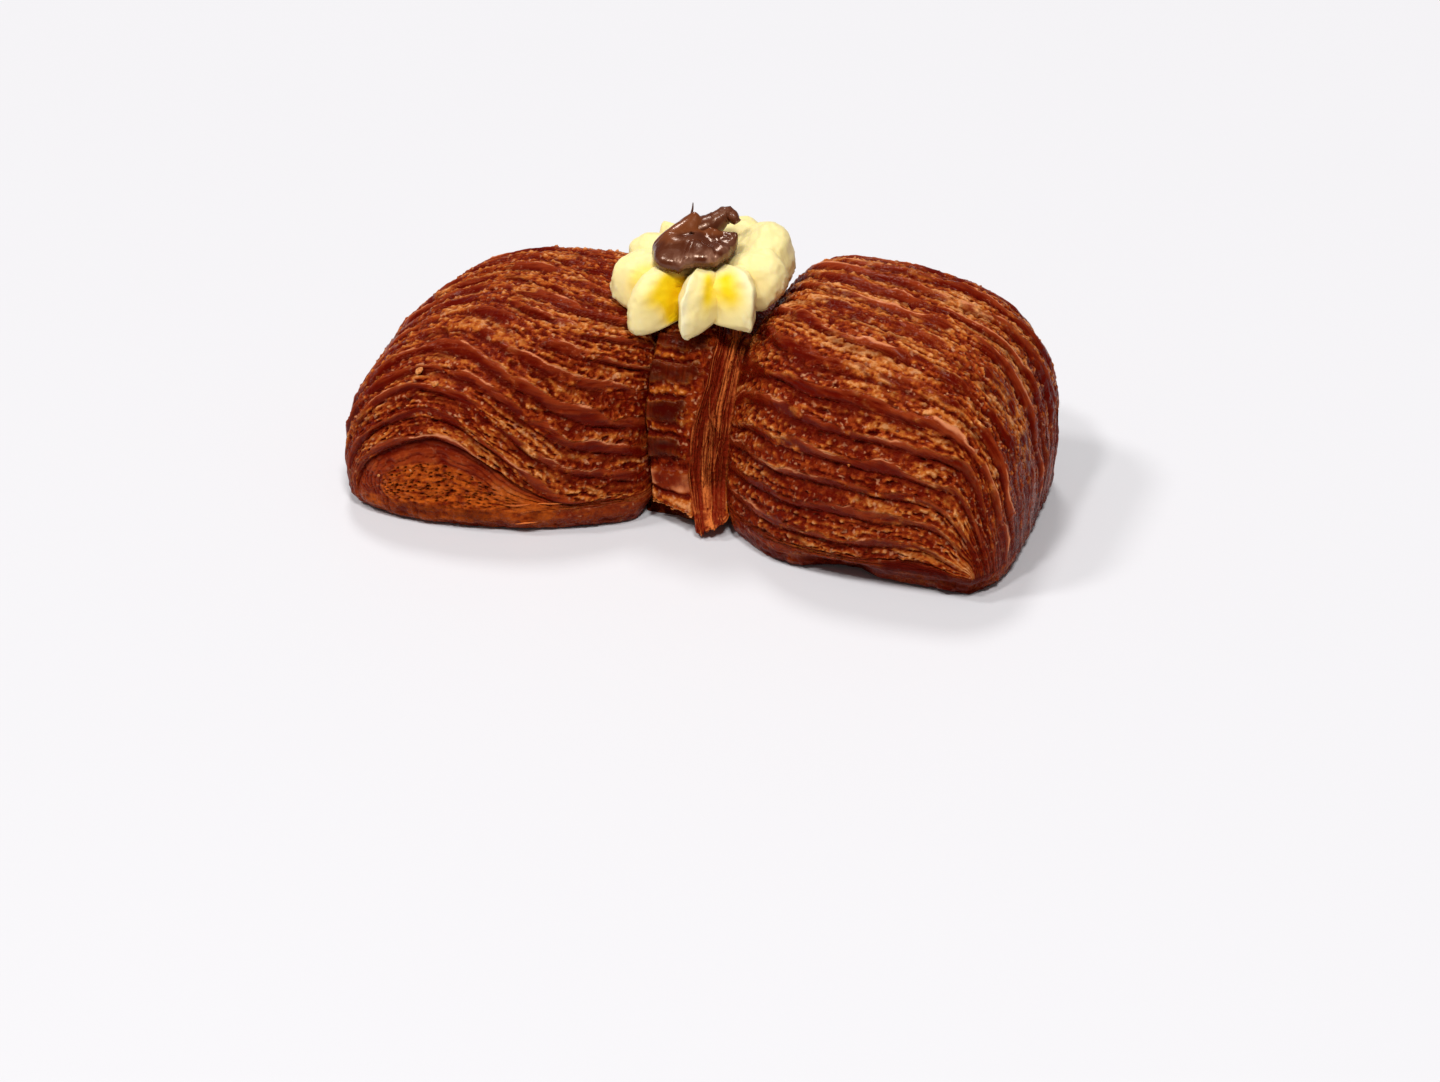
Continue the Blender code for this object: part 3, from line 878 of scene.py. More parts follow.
@dataclass(frozen=True)
class Pillow:
    """The bow's smooth form: a superellipsoid whose reach and height change along the bow."""

    place: tuple[float, float] = (-0.016 * MM, -1.412 * MM)
    half_length: float = 70.5 * MM
    rim: float = 5.5 * MM
    plan_square: float = 4.4
    section_square: float = 3.3
    top_lean: float = 5.5 * MM
    level_columns: float = 0.2
    round_columns: float = 0.7
    corner_spread: float = 0.42
    right_pull: tuple[float, float] = (4.5 * MM, -1.0 * MM)
    left_pull: tuple[float, float] = (-0.5 * MM, 1.0 * MM)
    waist_half: float = 8.8 * MM
    waist_left: float = 8.3 * MM
    left_tuck: float = 2.6 * MM
    waist_front: float = 11.0 * MM
    waist_back: float = 29.0 * MM
    waist_height: float = 33.0 * MM
    waist_floor: float = 4.4 * MM
    shoulder_step: float = 3.2 * MM
    foot_step: float = 6.0 * MM
    shoulder_power: float = 1.6
    foot_forward: float = 5.0 * MM
    undercut: float = 3.5 * MM
    left: WingSizes = WingSizes(31.5, 31.5, 42.0, 9.5, -3.5, -5.5, 15.0, 15.0, 4.0)
    right: WingSizes = WingSizes(28.5, 34.0, 47.0, 6.5, 4.0, 1.2, 10.0, 7.0, 1.0)

    def _either(self, is_left: Array, name: str) -> Array:
        """One of the wings' sizes, picked for each point by its side."""
        return np.where(is_left, getattr(self.left, name) * MM, getattr(self.right, name) * MM)

    def centred(self, centre: tuple[float, float]) -> tuple[float, float]:
        """Place on the ground of a centre that is given from the knot's middle."""
        return self.place[0] + centre[0], self.place[1] + centre[1]

    def waist_end(self, along: Array) -> Array:
        """Half length of the waist on the side of each place."""
        return np.where(along < 0, self.waist_left, self.waist_half)

    def reach(self, along: Array, level: Array, waist: float, name: str, foot: float) -> Array:
        """Reach of the pillow at a distance along the bow.

        The waist keeps its own reach, a quarter round leads up beside the band, the wing swells
        by 1 - exp(-(distance / shoulder)^power) to its full reach, and the flare adds with the
        square of the distance. The foot's extra reach fades with the square of the height, and on
        the left it starts nearer the knot, where the band narrows.

        Args:
            along: Distance from the knot's middle, negative on the left.
            level: 0 at the widest line and 1 at the crest.
            waist: The waist's reach.
            name: Which of the wing's sizes: front, back or height.
            foot: Extra reach of the foot beside the band.

        Returns:
            The reach for each point.
        """
        is_left = along < 0
        tuck = self.left_tuck * (1.0 - level) ** 2 if name == "front" else 0.0
        start = self.waist_end(along) - np.where(is_left, tuck, 0.0)
        past = np.maximum(np.abs(along) - start, 0.0)
        step, foot_step = (
            np.sqrt(1.0 - (1.0 - np.clip(past / width, 0.0, 1.0)) ** 2)
            for width in (self.shoulder_step, self.foot_step)
        )
        shoulder = self._either(is_left, "rise" if name == "height" else "shoulder")
        swell = 1.0 - np.exp(-((past / shoulder) ** self.shoulder_power))
        step_height = self._either(is_left, "step") * step
        step_height = step_height + foot * (1.0 - level) ** 2 * foot_step
        end = (past / (self.half_length - self.waist_half)) ** 2
        full = self._either(is_left, name)
        flare = self._either(is_left, name + "_flare")
        return waist + step_height + (full - waist - step_height) * swell + flare * end

    def skin(self, a: Array, b: Array) -> Array:
        """Places on the smooth upper skin.

        The grid place is turned into two angles of a quarter turn each, their sines and the
        product of their cosines give a direction, and a superellipse of the direction gives
        the size. Reach and height then stretch it, the crest leans back, and two corners at
        the front are pulled out by bells.

        Args:
            a: Place along the bow, from -1 to 1.
            b: Place from front to back, from -1 to 1.

        Returns:
            Points, three numbers in the last axis.
        """
        q = self.section_square
        x = np.sin(a * math.pi / 2) + 0.0 * b
        y = np.sin(b * math.pi / 2) + 0.0 * a
        cos_b = np.maximum(np.cos(b * math.pi / 2), 0.0)
        z = np.maximum(np.cos(a * math.pi / 2), 0.0) * cos_b
        plan = (np.abs(x) ** self.plan_square + np.abs(y) ** self.plan_square) ** (
            q / self.plan_square
        )
        size = (plan + z**q) ** (1.0 / q)
        middle = (np.abs(y) ** q + cos_b**q) ** (1.0 / q)
        keep = 1.0 - smooth_step(self.level_columns, self.round_columns, np.abs(x))
        along = self.half_length * x / size * (1.0 + (middle - 1.0) * keep)
        y, z = y / size, z / size
        front = self.reach(along, z, self.waist_front, "front", self.foot_forward)
        back = self.reach(along, z, self.waist_back, "back", 0.0)
        height = self.reach(along, z, self.waist_height, "height", 0.0)
        across = np.where(y < 0, front, back) * y + self.top_lean * z**1.5
        right = np.exp(-((1 - a) ** 2 + (1 + b) ** 2) / self.corner_spread**2)
        left = np.exp(-((1 + a) ** 2 + (1 + b) ** 2) / self.corner_spread**2)
        x, y = (
            self.place[i] + part + right * self.right_pull[i] + left * self.left_pull[i]
            for i, part in enumerate((along, across))
        )
        return stacked(x, y, self.rim + (height - self.rim) * z)

    def floor(self, x: Array) -> Array:
        """Height of the underside: the ground under the wings, an arch in the waist.

        Args:
            x: Places along the bow.

        Returns:
            The height at each place.
        """
        start = self.waist_end(x) - np.where(x < 0, self.left_tuck, 0.0)
        past = np.abs(x - self.place[0]) - start
        return self.waist_floor * (1.0 - smooth_step(0.0, self.shoulder_step, past))

    def waist_section(self, angle: Array, grow: Array) -> tuple[Array, Array]:
        """Outline round the waist, grown outwards.

        It is a superellipse above the widest line and a rounded foot below it.

        Args:
            angle: Angle from +Y over +Z.
            grow: Distance outwards from the waist's own surface.

        Returns:
            Y and Z for each angle.
        """
        cosine = np.cos(angle)
        sine = np.sin(angle)
        upper = sine >= 0
        q = self.section_square
        size = (np.abs(cosine) ** q + np.abs(sine) ** q) ** (1.0 / q)
        side = np.where(cosine >= 0, self.waist_back, self.waist_front) + grow
        level = np.where(upper, sine / size, 0.0)
        rise = (self.waist_height - self.rim + grow) * level
        bottom = np.maximum(self.waist_floor - grow, 0.0)
        fall = (self.rim - bottom) * np.where(upper, 0.0, -sine)
        in_foot = self.undercut * (1.0 - np.abs(cosine)) * np.where(upper, 0.0, 1.0)
        across = np.where(upper, side * cosine / size, np.sign(cosine) * (side - in_foot))
        across = np.where(np.abs(cosine) < 1e-6, 0.0, across)
        return self.place[1] + across + self.top_lean * level**1.5, self.rim + rise - fall


@dataclass(frozen=True)
class Ribs:
    """The scored strips: their number, and one strip's section from its lip upwards.

    A place within a rib runs from 0 to 1 over the glazed strip and from 1 to 2 over the crumb
    and the groove under the next strip's lip.
    """

    count: int = 18
    rows_per_rib: int = 25
    pitch: float = 6.3 * MM
    strip_share: float = 0.36
    wander: float = 0.014
    edge_lowest: float = 0.025
    lens_top: float = 0.31
    lens_start: float = -0.17
    lens_full: float = -0.45
    lip_top: float = 0.045
    lip_start: float = 0.38
    lip_end: float = 0.82
    places: tuple[float, ...] = (
        0.0, 0.08, 0.30, 0.72, 0.93, 1.0, 1.08, 1.30, 1.62, 1.84, 1.95, 2.0,
    )
    heights: tuple[float, ...] = (
        -0.62, -0.15, 0.34, 0.82, 1.00, 0.92, 0.60, 0.38, 0.10, -0.28, -0.60, -0.68,
    )

    # Places at 0.3 of each wing and the strips that lie there, uneven as a hand scores them
    left_marks: tuple[tuple[float, float], ...] = (
        (-1.0, -0.9), (0.0, 0.0), (1.3, 1.15), (2.5, 2.15), (3.3, 3.15), (4.2, 4.15),
        (5.2, 5.15), (6.1, 6.15), (9.0, 9.3), (18.0, 18.6),
    )
    right_marks: tuple[tuple[float, float], ...] = (
        (-1.0, -1.4), (0.5, 0.15), (1.3, 1.15), (2.15, 2.15), (2.85, 3.15), (3.6, 4.15),
        (4.35, 5.15), (5.1, 6.15), (6.05, 7.15), (7.5, 8.3), (9.0, 9.9), (18.0, 20.4),
    )
    # How far strips rise towards the knot on the right wing and fall on the left, in ribs
    sweep: float = 4.6
    left_fall: float = 1.8

    def numbered(self, a: Array, place: Array, is_left: bool) -> Array:
        """Which strip lies at a place, as a number whose whole part counts the strips.

        On the left wing the strips fall towards the knot and run out at the foot. On the right
        wing the upper strips rise towards the knot by an exponential of the distance from it,
        and all of them rise a little towards the end.

        Args:
            a: Place along the bow.
            place: Place across the ribs.
            is_left: Whether it is the left wing.

        Returns:
            The strip's number.
        """
        marks = np.array(self.left_marks if is_left else self.right_marks)
        if is_left:
            fall = self.left_fall * smooth_step(0.44, 0.07, np.abs(a))
            place = place + fall * smooth_step(15.0, 7.0, place)
        else:
            near = np.exp(-np.maximum(np.abs(a) - 0.06, 0.0) / 0.07)
            upper = plateau(3.6, 8.2, 9.0, 18.0, place)
            rise = 0.6 * smooth_step(0.25, 0.65, np.abs(a)) * smooth_step(0.0, 2.0, place)
            place = place - self.sweep * near * upper - rise * smooth_step(18.0, 12.0, place)
        return np.interp(place, marks[:, 0], marks[:, 1])

    def opening(self, a: Array) -> Array:
        """How far the skin's lower edge is raised: the lens on the left, the lip on the right.

        Args:
            a: Places along the bow.

        Returns:
            The rise, in places from front to back.
        """
        lens = self.lens_top * smooth_step(self.lens_start, self.lens_full, a)
        along_lip = np.clip((a - self.lip_start) / (self.lip_end - self.lip_start), 0.0, 1.0)
        return lens + self.lip_top * hump(along_lip, 2.0)


@dataclass
class SkinRelief:
    """What the ribbed skin adds to the smooth pillow at each point, and its paint."""

    height: Array
    shift: Array
    zones: Array
    cut: Array


@dataclass(frozen=True)
class DoughWing:
    """One half of one wing, as a closed body: ribbed skin, cut layers, foot and underside."""

    side: Side
    half: Half
    pillow: Pillow
    ribs: Ribs
    seam_rib: int = 10
    waist_columns: int = 14
    wing_columns: int = 262
    first_column: float = 0.5
    foot_rings: int = 14
    foot_relief: float = 0.75 * MM
    calm_rim: float = 0.05
    calm_end: float = 0.10
    calm_share: float = 0.35
    corner_calm: float = 0.16
    beside_band: float = 3.4 * MM
    lens_rows: int = 60
    lip_rows: int = 22
    # The lens: its middle on the skin's grid, and its reach to the left, the right and upwards
    lens_middle: tuple[float, float] = (-0.545, 0.26)
    lens_reach: tuple[float, float, float] = (0.20, 0.27, 0.44)
    # Where the right foot is drawn in, as four places in mm and a depth: notch and lip
    notches: tuple[tuple[float, ...], ...] = (
        (24.0, 38.0, 41.0, 46.0, 4.5), (41.0, 46.0, 62.0, 70.0, 1.6),
    )
    relief: float = 0.80 * MM
    overhang: float = 0.16 * MM
    edge_step: float = 1.3 * MM
    foam: float = 0.56 * MM
    lump: float = 0.7 * MM

    @property
    def name(self) -> str:
        """Name of the piece."""
        return f"dough_{self.side.name.lower()}_{self.half.value}"

    def columns(self) -> Array:
        """Places of the columns, from the waist's middle to the wing's end.

        Returns:
            The places along the bow.
        """
        half = float(self.pillow.waist_end(np.array(self.side.value)))
        waist_end = math.asin(half / self.pillow.half_length) * 2 / math.pi
        waist = np.linspace(0.0, waist_end, self.waist_columns + 1)
        t = np.linspace(0.0, 1.0, self.wing_columns + 1)[1:]
        wing = waist_end + (1.0 - waist_end) * t * (self.first_column + (1 - self.first_column) * t)
        return self.side.value * np.concatenate([waist, wing])

    def layer_rows(self) -> int:
        """Rows below the skin's lower edge, on the front half only.

        Returns:
            Their number.
        """
        if self.half is Half.BACK:
            return 0
        return self.lens_rows if self.side is Side.LEFT else self.lip_rows

    def rib_range(self) -> range:
        """Ribs of this half.

        Returns:
            Their numbers.
        """
        if self.half is Half.FRONT:
            return range(0, self.seam_rib)
        return range(self.seam_rib, self.ribs.count)

    def build(self, material: bpy.types.Material) -> bpy.types.Object:
        """Work out the body and make it a piece.

        One spare row beyond the seam is worked out too and then left out, so that both halves
        agree there.

        Args:
            material: The crust's material.

        Returns:
            The piece.
        """
        a = self.columns()[:, None]
        layers = self.layer_rows()
        ribs = self.rib_range()
        per_rib = self.ribs.rows_per_rib
        is_front = self.half is Half.FRONT
        low = ribs[0] * per_rib - (0 if is_front else 1)
        high = (ribs[-1] + 1) * per_rib + (1 if is_front else 0)
        place = np.arange(low, high + 1)[None, :] / per_rib
        t = -1.0 + 2.0 * place / self.ribs.count
        raised = self.ribs.edge_lowest + self.ribs.opening(a)
        wander = self.ribs.wander * np.sin(9.0 * a + 4.0 * t) * np.cos(math.pi / 2 * t)
        skin_b = t + raised * ((1.0 - t) / 2) ** 2 + wander
        c = np.linspace(0.0, 1.0, layers + 1)[None, :-1]
        b = np.concatenate([-1.0 + raised * c, skin_b], axis=1)
        if not is_front:
            b[:, -1] = 1.0
        smooth = self.pillow.skin(a, b)
        normal, _, up = along_grid(smooth)
        normal = normal * self.side.value
        flow = self.flow(smooth, place, layers)
        relief = self.skin(a, place, flow[:, layers:])
        if layers:
            low_relief = self.layers(a, c, flow[:, :layers])
            relief = SkinRelief(
                *(
                    np.concatenate([getattr(low_relief, part), getattr(relief, part)], axis=1)
                    for part in ("height", "shift", "zones", "cut")
                )
            )
        large = stacked(flow[..., 0], 0.6 * flow[..., 1], flow[..., 2])
        lumps = self.lump * rough_noise(large / (11.0 * MM), 5, 2)
        fade = self.fade(a, b)
        height = (relief.height + lumps) * fade
        points = smooth + normal * height[..., None] + up * (relief.shift * fade)[..., None]
        kept = slice(None, -1) if is_front else slice(1, None)
        shell = self.close(points[:, kept].copy(), a, b[:, kept])
        shape = points[:, kept].shape[:2]
        shell.paint = self.painted(
            shell, relief.zones[:, kept], relief.cut[:, kept], flow[:, kept], shape
        )
        return shell.make(self.name, material)

    def flow(self, smooth: Array, place: Array, layers: int) -> Array:
        """Coordinates along and across the ribs, for patterns that follow them.

        Args:
            smooth: The skin's points before its relief.
            place: Places of the rows among the ribs.
            layers: Rows below the skin's lower edge.

        Returns:
            The coordinates in metres, and the side.
        """
        along = run_length(smooth)
        across = np.broadcast_to(place * self.ribs.pitch, (along.shape[0], place.shape[1]))
        below = np.linspace(-1.0, 0.0, layers + 1)[None, :-1] * 3.0 * self.ribs.pitch
        below = np.broadcast_to(below, (along.shape[0], layers))
        across = np.concatenate([below, across], axis=1)
        return stacked(along, across, np.full_like(along, self.side.value))

    def fade(self, a: Array, b: Array) -> Array:
        """Share of the relief that is kept: none in the waist, little at the rim and ends.

        Args:
            a: Places along the bow.
            b: Places from front to back.

        Returns:
            The share.
        """
        along = self.pillow.half_length * np.abs(np.sin(a * math.pi / 2))
        start = self.pillow.waist_end(a)
        beside = smooth_step(start - 0.6 * MM, start + self.beside_band, along)
        from_end = 1.0 - np.abs(a)
        from_rim = 1.0 - np.abs(b)
        to_end = blend(self.calm_share, 1.0, smooth_step(0.0, self.calm_end, from_end))
        to_rim = blend(self.calm_share, 1.0, np.minimum(1.0, from_rim / self.calm_rim))
        corner = 1.0 - np.exp(-(from_end**2 + from_rim**2) / self.corner_calm**2)
        return beside * to_end * to_rim * corner

    def grain(self, flow: Array, along: float, across: float, seed: int, octaves: int) -> Array:
        """Noise with features of a size in mm along and across the ribs."""
        return rough_noise(flow / (np.array([along, across, 1.0]) * MM), seed, octaves)

    def skin(self, a: Array, place: Array, flow: Array) -> SkinRelief:
        """Relief and paint of the ribbed skin.

        The place across the ribs is bent by noise, so that strips wander, widen and break. The
        strip's section is read from the ribs' profile, and its prominence varies along it. The
        crumb between the strips is foam of raised bubbles and pits, with fine layer lines along
        the ribs and slanting strands. Painted shade darkens the hollows and painted light
        brightens the crests, by the difference between the relief and its own mean nearby. Each
        strip is painted lighter towards its upper edge, with a painted highlight along it, and
        painted shade lies under the next strip's lip.

        Args:
            a: Places along the bow.
            place: Place across the ribs, in ribs.
            flow: Coordinates along and across the ribs.

        Returns:
            The relief.
        """
        is_left = self.side is Side.LEFT
        along = np.broadcast_to(a, flow.shape[:2])
        far = smooth_step(0.30, 0.72, np.abs(along))
        end = smooth_step(0.66, 0.92, np.abs(along))
        crest = plateau(4.0, 8.0, 12.0, 17.0, place)
        warp = 0.17 * self.grain(flow, 14.0, 8.0, 11, 2) + 0.05 * self.grain(flow, 2.4, 1.8, 12, 3)
        moved = self.ribs.numbered(along, place + 0.0 * along, is_left)
        moved = moved + warp * smooth_step(0.0, 0.7, place) * (1.0 + 0.7 * far)
        number = np.floor(moved)
        within = moved - number
        by_rib = stacked(flow[..., 0] / (9.0 * MM), 7.3 * number, flow[..., 2])
        width = self.ribs.strip_share * (1.0 + 0.85 * rough_noise(by_rib, 13, 3))
        width = width + 0.07 * self.grain(flow, 1.7, 1.5, 15, 2)
        width = np.clip(width - (0.03 if is_left else 0.0), 0.14, 0.66)
        q = np.where(within < width, within / width, 1.0 + (within - width) / (1.0 - width))
        tone = rough_noise(by_rib * np.array([0.8, 0.5, 1.0]) + 9.0, 21, 2)
        broken = self.grain(flow, 5.0, 2.4, 33, 4)
        breaks = 1.35 if is_left else blend(0.75, 1.15, far)
        fading = (0.36 if is_left else 0.18) * crest + 0.50 * end
        strong = np.clip(0.88 + 0.45 * tone - breaks * broken - fading, 0.05, 1.25)
        profile = np.interp(q, self.ribs.places, self.ribs.heights)
        strip = plateau(0.0, 0.10, 0.96, 1.08, q)
        crumb = 1.0 - strip * smooth_step(0.15, 0.60, strong)
        height = self.relief * blend(0.30 * profile, profile, strong)
        height += crumb * (1.0 - 0.82 * end) * self.foam_relief(flow) + strip * self.blisters(flow)
        lines, line_skin = self.layer_lines(flow, moved, end)
        height += lines * (0.45 + 0.55 * crumb)
        lip = smooth_step(0.25, 0.0, q) * (q < 1.0)
        under = smooth_step(1.75, 2.0, q)
        ragged = 0.6 + 0.5 * self.grain(flow, 1.6, 9.0, 81, 2)
        shift = (under * 0.35 - lip * 0.65 * ragged) * self.overhang * strong
        cavity = (softened(height, 4) - height) / (0.30 * MM)
        glazed = strip * smooth_step(0.25, 0.75, strong + 0.45 * self.grain(flow, 2.2, 1.0, 83, 3))
        glazed = np.maximum(glazed, 0.9 * end * line_skin)
        # painted shade under each strip's lip, where it is also baked darker, fading towards the
        # edge of the strip below, and painted shade in the relief's hollows
        mottled = self.grain(flow, 2.6, 1.6, 85, 3)
        groove = smooth_step(1.20, 1.85, q) * smooth_step(0.10, 0.70, strong)
        groove = np.clip(groove * (0.62 + 0.9 * mottled), 0.0, 1.0) * (1.0 - 0.4 * end)
        shade = np.maximum(0.85 * groove, 0.82 * smooth_step(0.06, 1.1, cavity))
        warm = self.grain(flow, 13.0, 6.0, 91, 3)
        patches = smooth_step(-0.12, 0.42, self.grain(flow, 8.0, 2.6, 93, 3) + 0.10 * crest)
        # painted light and shade: gold is raised on crests and lowered in hollows by the cavity
        gold = blend(0.10, 0.55 if is_left else 0.66, patches) + 0.25 * warm - 0.56 * cavity
        # painted highlight along each strip's upper edge, in patches, weaker towards the end
        edge = bump_at(q, 0.97, 0.09) * smooth_step(0.30, 0.8, strong)
        edge = edge * smooth_step(-0.15, 0.45, self.grain(flow, 7.0, 3.5, 99, 2) - 0.10 * is_left)
        edge = edge * (1.0 - 0.5 * far)
        streaks = self.grain(flow, 9.0, 0.55, 97, 2)
        # painted light: strips lighter towards their upper edge, crests lighter and hollows darker
        upper = 0.04 + 0.44 * smooth_step(0.15, 1.0, q) + 0.34 * warm - 0.22 * cavity
        upper = upper + 0.34 * tone + 0.50 * end * streaks
        tint = upper + edge * (0.50 + 0.70 * self.grain(flow, 2.5, 2.5, 95, 3))
        # right wing: painted shade low beside the band, lighter with less painted shade at the
        # front corner, lighter towards the crest, darker towards the end
        if not is_left:
            from_corner = (1.0 - np.abs(along)) ** 2 + (2.0 * place / self.ribs.count) ** 2
            corner = np.exp(-from_corner / 0.40**2)
            low = smooth_step(3.6, 1.6, place) * smooth_step(0.62, 0.40, np.abs(along))
            gold = gold - 0.20 * low + 0.45 * corner + 0.16 * crest + (0.30 * streaks - 0.26) * end
            shade = np.maximum(shade * (1.0 - 0.18 * corner), 0.22 * low)
            glazed = glazed * (1.0 - 0.75 * corner)
            shade = shade * (1.0 - 0.7 * corner) * (1.0 - 0.16 * crest)
            height = height * (1.0 - 0.6 * corner)
            turned = smooth_step(0.50, 0.74, np.abs(along)) * (1.0 - corner)
            tint = tint - 0.16 * turned
            gold = gold - 0.24 * turned
        zones = stacked(glazed, shade, gold)
        cut = stacked(0.0, np.clip(tint, 0.0, 1.0), 0.0)
        return SkinRelief(height, shift, zones, cut)

    def foam_relief(self, flow: Array) -> Array:
        """Raised bubbles, irregular pits and slanting strands of the crumb.

        Args:
            flow: Coordinates along and across.

        Returns:
            The height.
        """
        bent = flow + (0.5 * MM * self.grain(flow, 2.0, 2.0, 40, 2))[..., None]
        bubble = knobs(bent / (np.array([1.15, 0.85, 1.0]) * MM), 41, 2.8, 0.7)
        bubble += 0.5 * knobs(bent / (0.66 * MM), 42, 2.4, 0.6)
        pit = smooth_step(0.22, 0.55, self.grain(flow, 2.0, 1.0, 43, 3))
        u, w = flow[..., 0], flow[..., 1]
        along = (u + 0.7 * w) / (5.0 * MM)
        slanted = stacked(along, (w - 0.7 * u) / (0.9 * MM), flow[..., 2])
        patches = smooth_step(-0.1, 0.4, self.grain(flow, 9.0, 5.0, 48, 2))
        strand = rough_noise(slanted, 47, 2) * patches
        fine = self.grain(flow, 0.9, 0.7, 51, 2)
        return self.foam * (bubble - 1.0 * pit + 0.60 * strand + 0.40 * fine)

    def blisters(self, flow: Array) -> Array:
        """Wrinkles and small round blisters of the glazed strips.

        Args:
            flow: Coordinates along and across.

        Returns:
            The height.
        """
        wrinkle = self.grain(flow, 4.0, 0.8, 61, 3)
        near, _, tone = bubbles(flow / (1.5 * MM), 71)
        blister = smooth_step(0.42, 0.05, near) * smooth_step(0.55, 0.9, tone)
        return (0.16 * wrinkle + 0.30 * blister) * MM

    def layer_lines(self, flow: Array, moved: Array, end: Array) -> tuple[Array, Array]:
        """Fine lines of the layers along the ribs, in patches and towards the wing's end.

        Args:
            flow: Coordinates along and across.
            moved: Places among the ribs.
            end: Share of the wing's end.

        Returns:
            The height, and where the lines are glazed.
        """
        bent = 3.8 * moved + 1.0 * self.grain(flow, 9.0, 3.0, 65, 3)
        ridge = hump(fraction(bent), 0.7)
        patches = smooth_step(-0.20, 0.35, self.grain(flow, 11.0, 3.5, 66, 2))
        strength = np.clip(patches + 0.8 * end, 0.0, 1.3)
        glazed = smooth_step(0.55, 0.85, ridge + 0.5 * self.grain(flow, 7.0, 2.0, 67, 2))
        return 0.48 * MM * (ridge - 0.6) * strength, glazed

    def layers(self, a: Array, c: Array, flow: Array) -> SkinRelief:
        """Relief and masks below the skin's lower edge: the open lens, or the low lip.

        The lens is read in a radius round its own middle, longer to the right, so its sheets
        wrap round the crumb: crumb inside, fine sheets outside, and a deep crease at the skin.

        Args:
            a: Places along the bow.
            c: Places of the rows, 0 at the rim and 1 at the skin's edge.
            flow: Coordinates along and across.

        Returns:
            The relief.
        """
        shape = flow.shape[:2]
        is_left = self.side is Side.LEFT
        along = np.broadcast_to(a, shape)
        up = np.broadcast_to(c, shape)
        opened = smooth_step(0.0, self.ribs.lip_top / 2, self.ribs.opening(along))
        to_left, to_right, upwards = self.lens_reach
        away = along - self.lens_middle[0]
        away = away / np.where(away < 0.0, to_left, to_right)
        rise = (up - self.lens_middle[1]) / upwards
        radius = np.hypot(away, rise)
        bent = flow + (0.5 * MM * self.grain(flow, 3.0, 3.0, 99, 2))[..., None]
        near, following, tone = bubbles(bent / (np.array([1.00, 0.80, 1.0]) * MM), 101)
        ring = np.sin(2.0 * math.pi * (4.5 * radius + 0.6 * self.grain(flow, 5.0, 2.5, 105, 2)))
        hole = smooth_step(0.55, 0.15, near) * smooth_step(0.10, 0.50, tone - 0.16 * ring)
        fine = self.grain(flow, 0.9, 0.9, 111, 3)
        ragged = radius + 0.05 * fine + 0.05 * self.grain(flow, 4.0, 4.0, 113, 2)
        inside = smooth_step(1.06, 0.90, ragged) if is_left else np.zeros(shape)
        wave = rough_noise(stacked(along * 26.0, up * 4.0, 0.0), 121, 3)
        sheets = (radius * 4.0 if is_left else up * 5.0) + 0.75 * wave
        ridge = hump(fraction(sheets), 0.7)
        outside = 1.0 - inside
        splinter = smooth_step(-0.40, -0.28, along) * smooth_step(0.80, 0.45, up)
        if not is_left:
            splinter = np.zeros(shape)
        bulge = hump(np.clip(0.12 + 0.80 * up, 0.0, 1.0), 0.8)
        height = opened * (-self.edge_step * (1.0 - 0.85 * bulge))
        height += opened * outside * (0.26 + 0.30 * splinter) * MM * (ridge - 0.5)
        height -= opened * inside * 0.85 * MM * hole
        height += opened * (0.16 * fine + 0.25 * wave) * MM
        closed = 1.0 - opened
        strips = up * 2.3 + 0.55 * wave + 0.35
        strip = hump(fraction(strips), 0.8)
        height += closed * (0.8 * self.foam_relief(flow) + 0.7 * MM * (strip - 0.6))
        # painted shade: in the crease at the skin's edge on the left and under the lip on the
        # right, in the lens's holes, between the sheets, and between the strips where the edge
        # stays closed
        crease = smooth_step(0.86, 0.99, up) if is_left else smooth_step(0.80, 0.55, up)
        shade = opened * np.maximum(crease, 0.80 * hole * inside)
        shade = np.maximum(shade, opened * outside * 0.70 * smooth_step(0.45, 0.05, ridge))
        shade = np.maximum(shade, closed * 0.75 * smooth_step(0.50, 0.10, strip + 0.3 * fine))
        covered = closed * smooth_step(0.55, 0.80, strip + 0.35 * fine)
        glazed = np.maximum(covered, opened * outside * (0.85 - 0.65 * splinter))
        gold = 0.30 + 0.5 * wave + 0.3 * splinter
        amber = opened * np.maximum(0.9 * inside, splinter * 0.9)
        # painted light: lit and bright are lighter on the sheets' ridges
        lit = 0.50 + 0.40 * fine + 0.35 * (ridge - 0.6) * outside + 0.30 * (following - near)
        lit = lit + 0.16 * ring * inside
        bright = blend(0.34 + 0.35 * wave + 0.35 * (ridge - 0.5), lit, np.maximum(inside, splinter))
        if not is_left:
            bright = np.maximum(bright, opened * smooth_step(0.78, 0.90, up) * (0.85 + 0.4 * fine))
        zones = stacked(glazed, shade, gold)
        cut = stacked(amber, np.clip(bright, 0.0, 1.0), np.zeros(shape))
        return SkinRelief(height, np.zeros(shape), zones, cut)

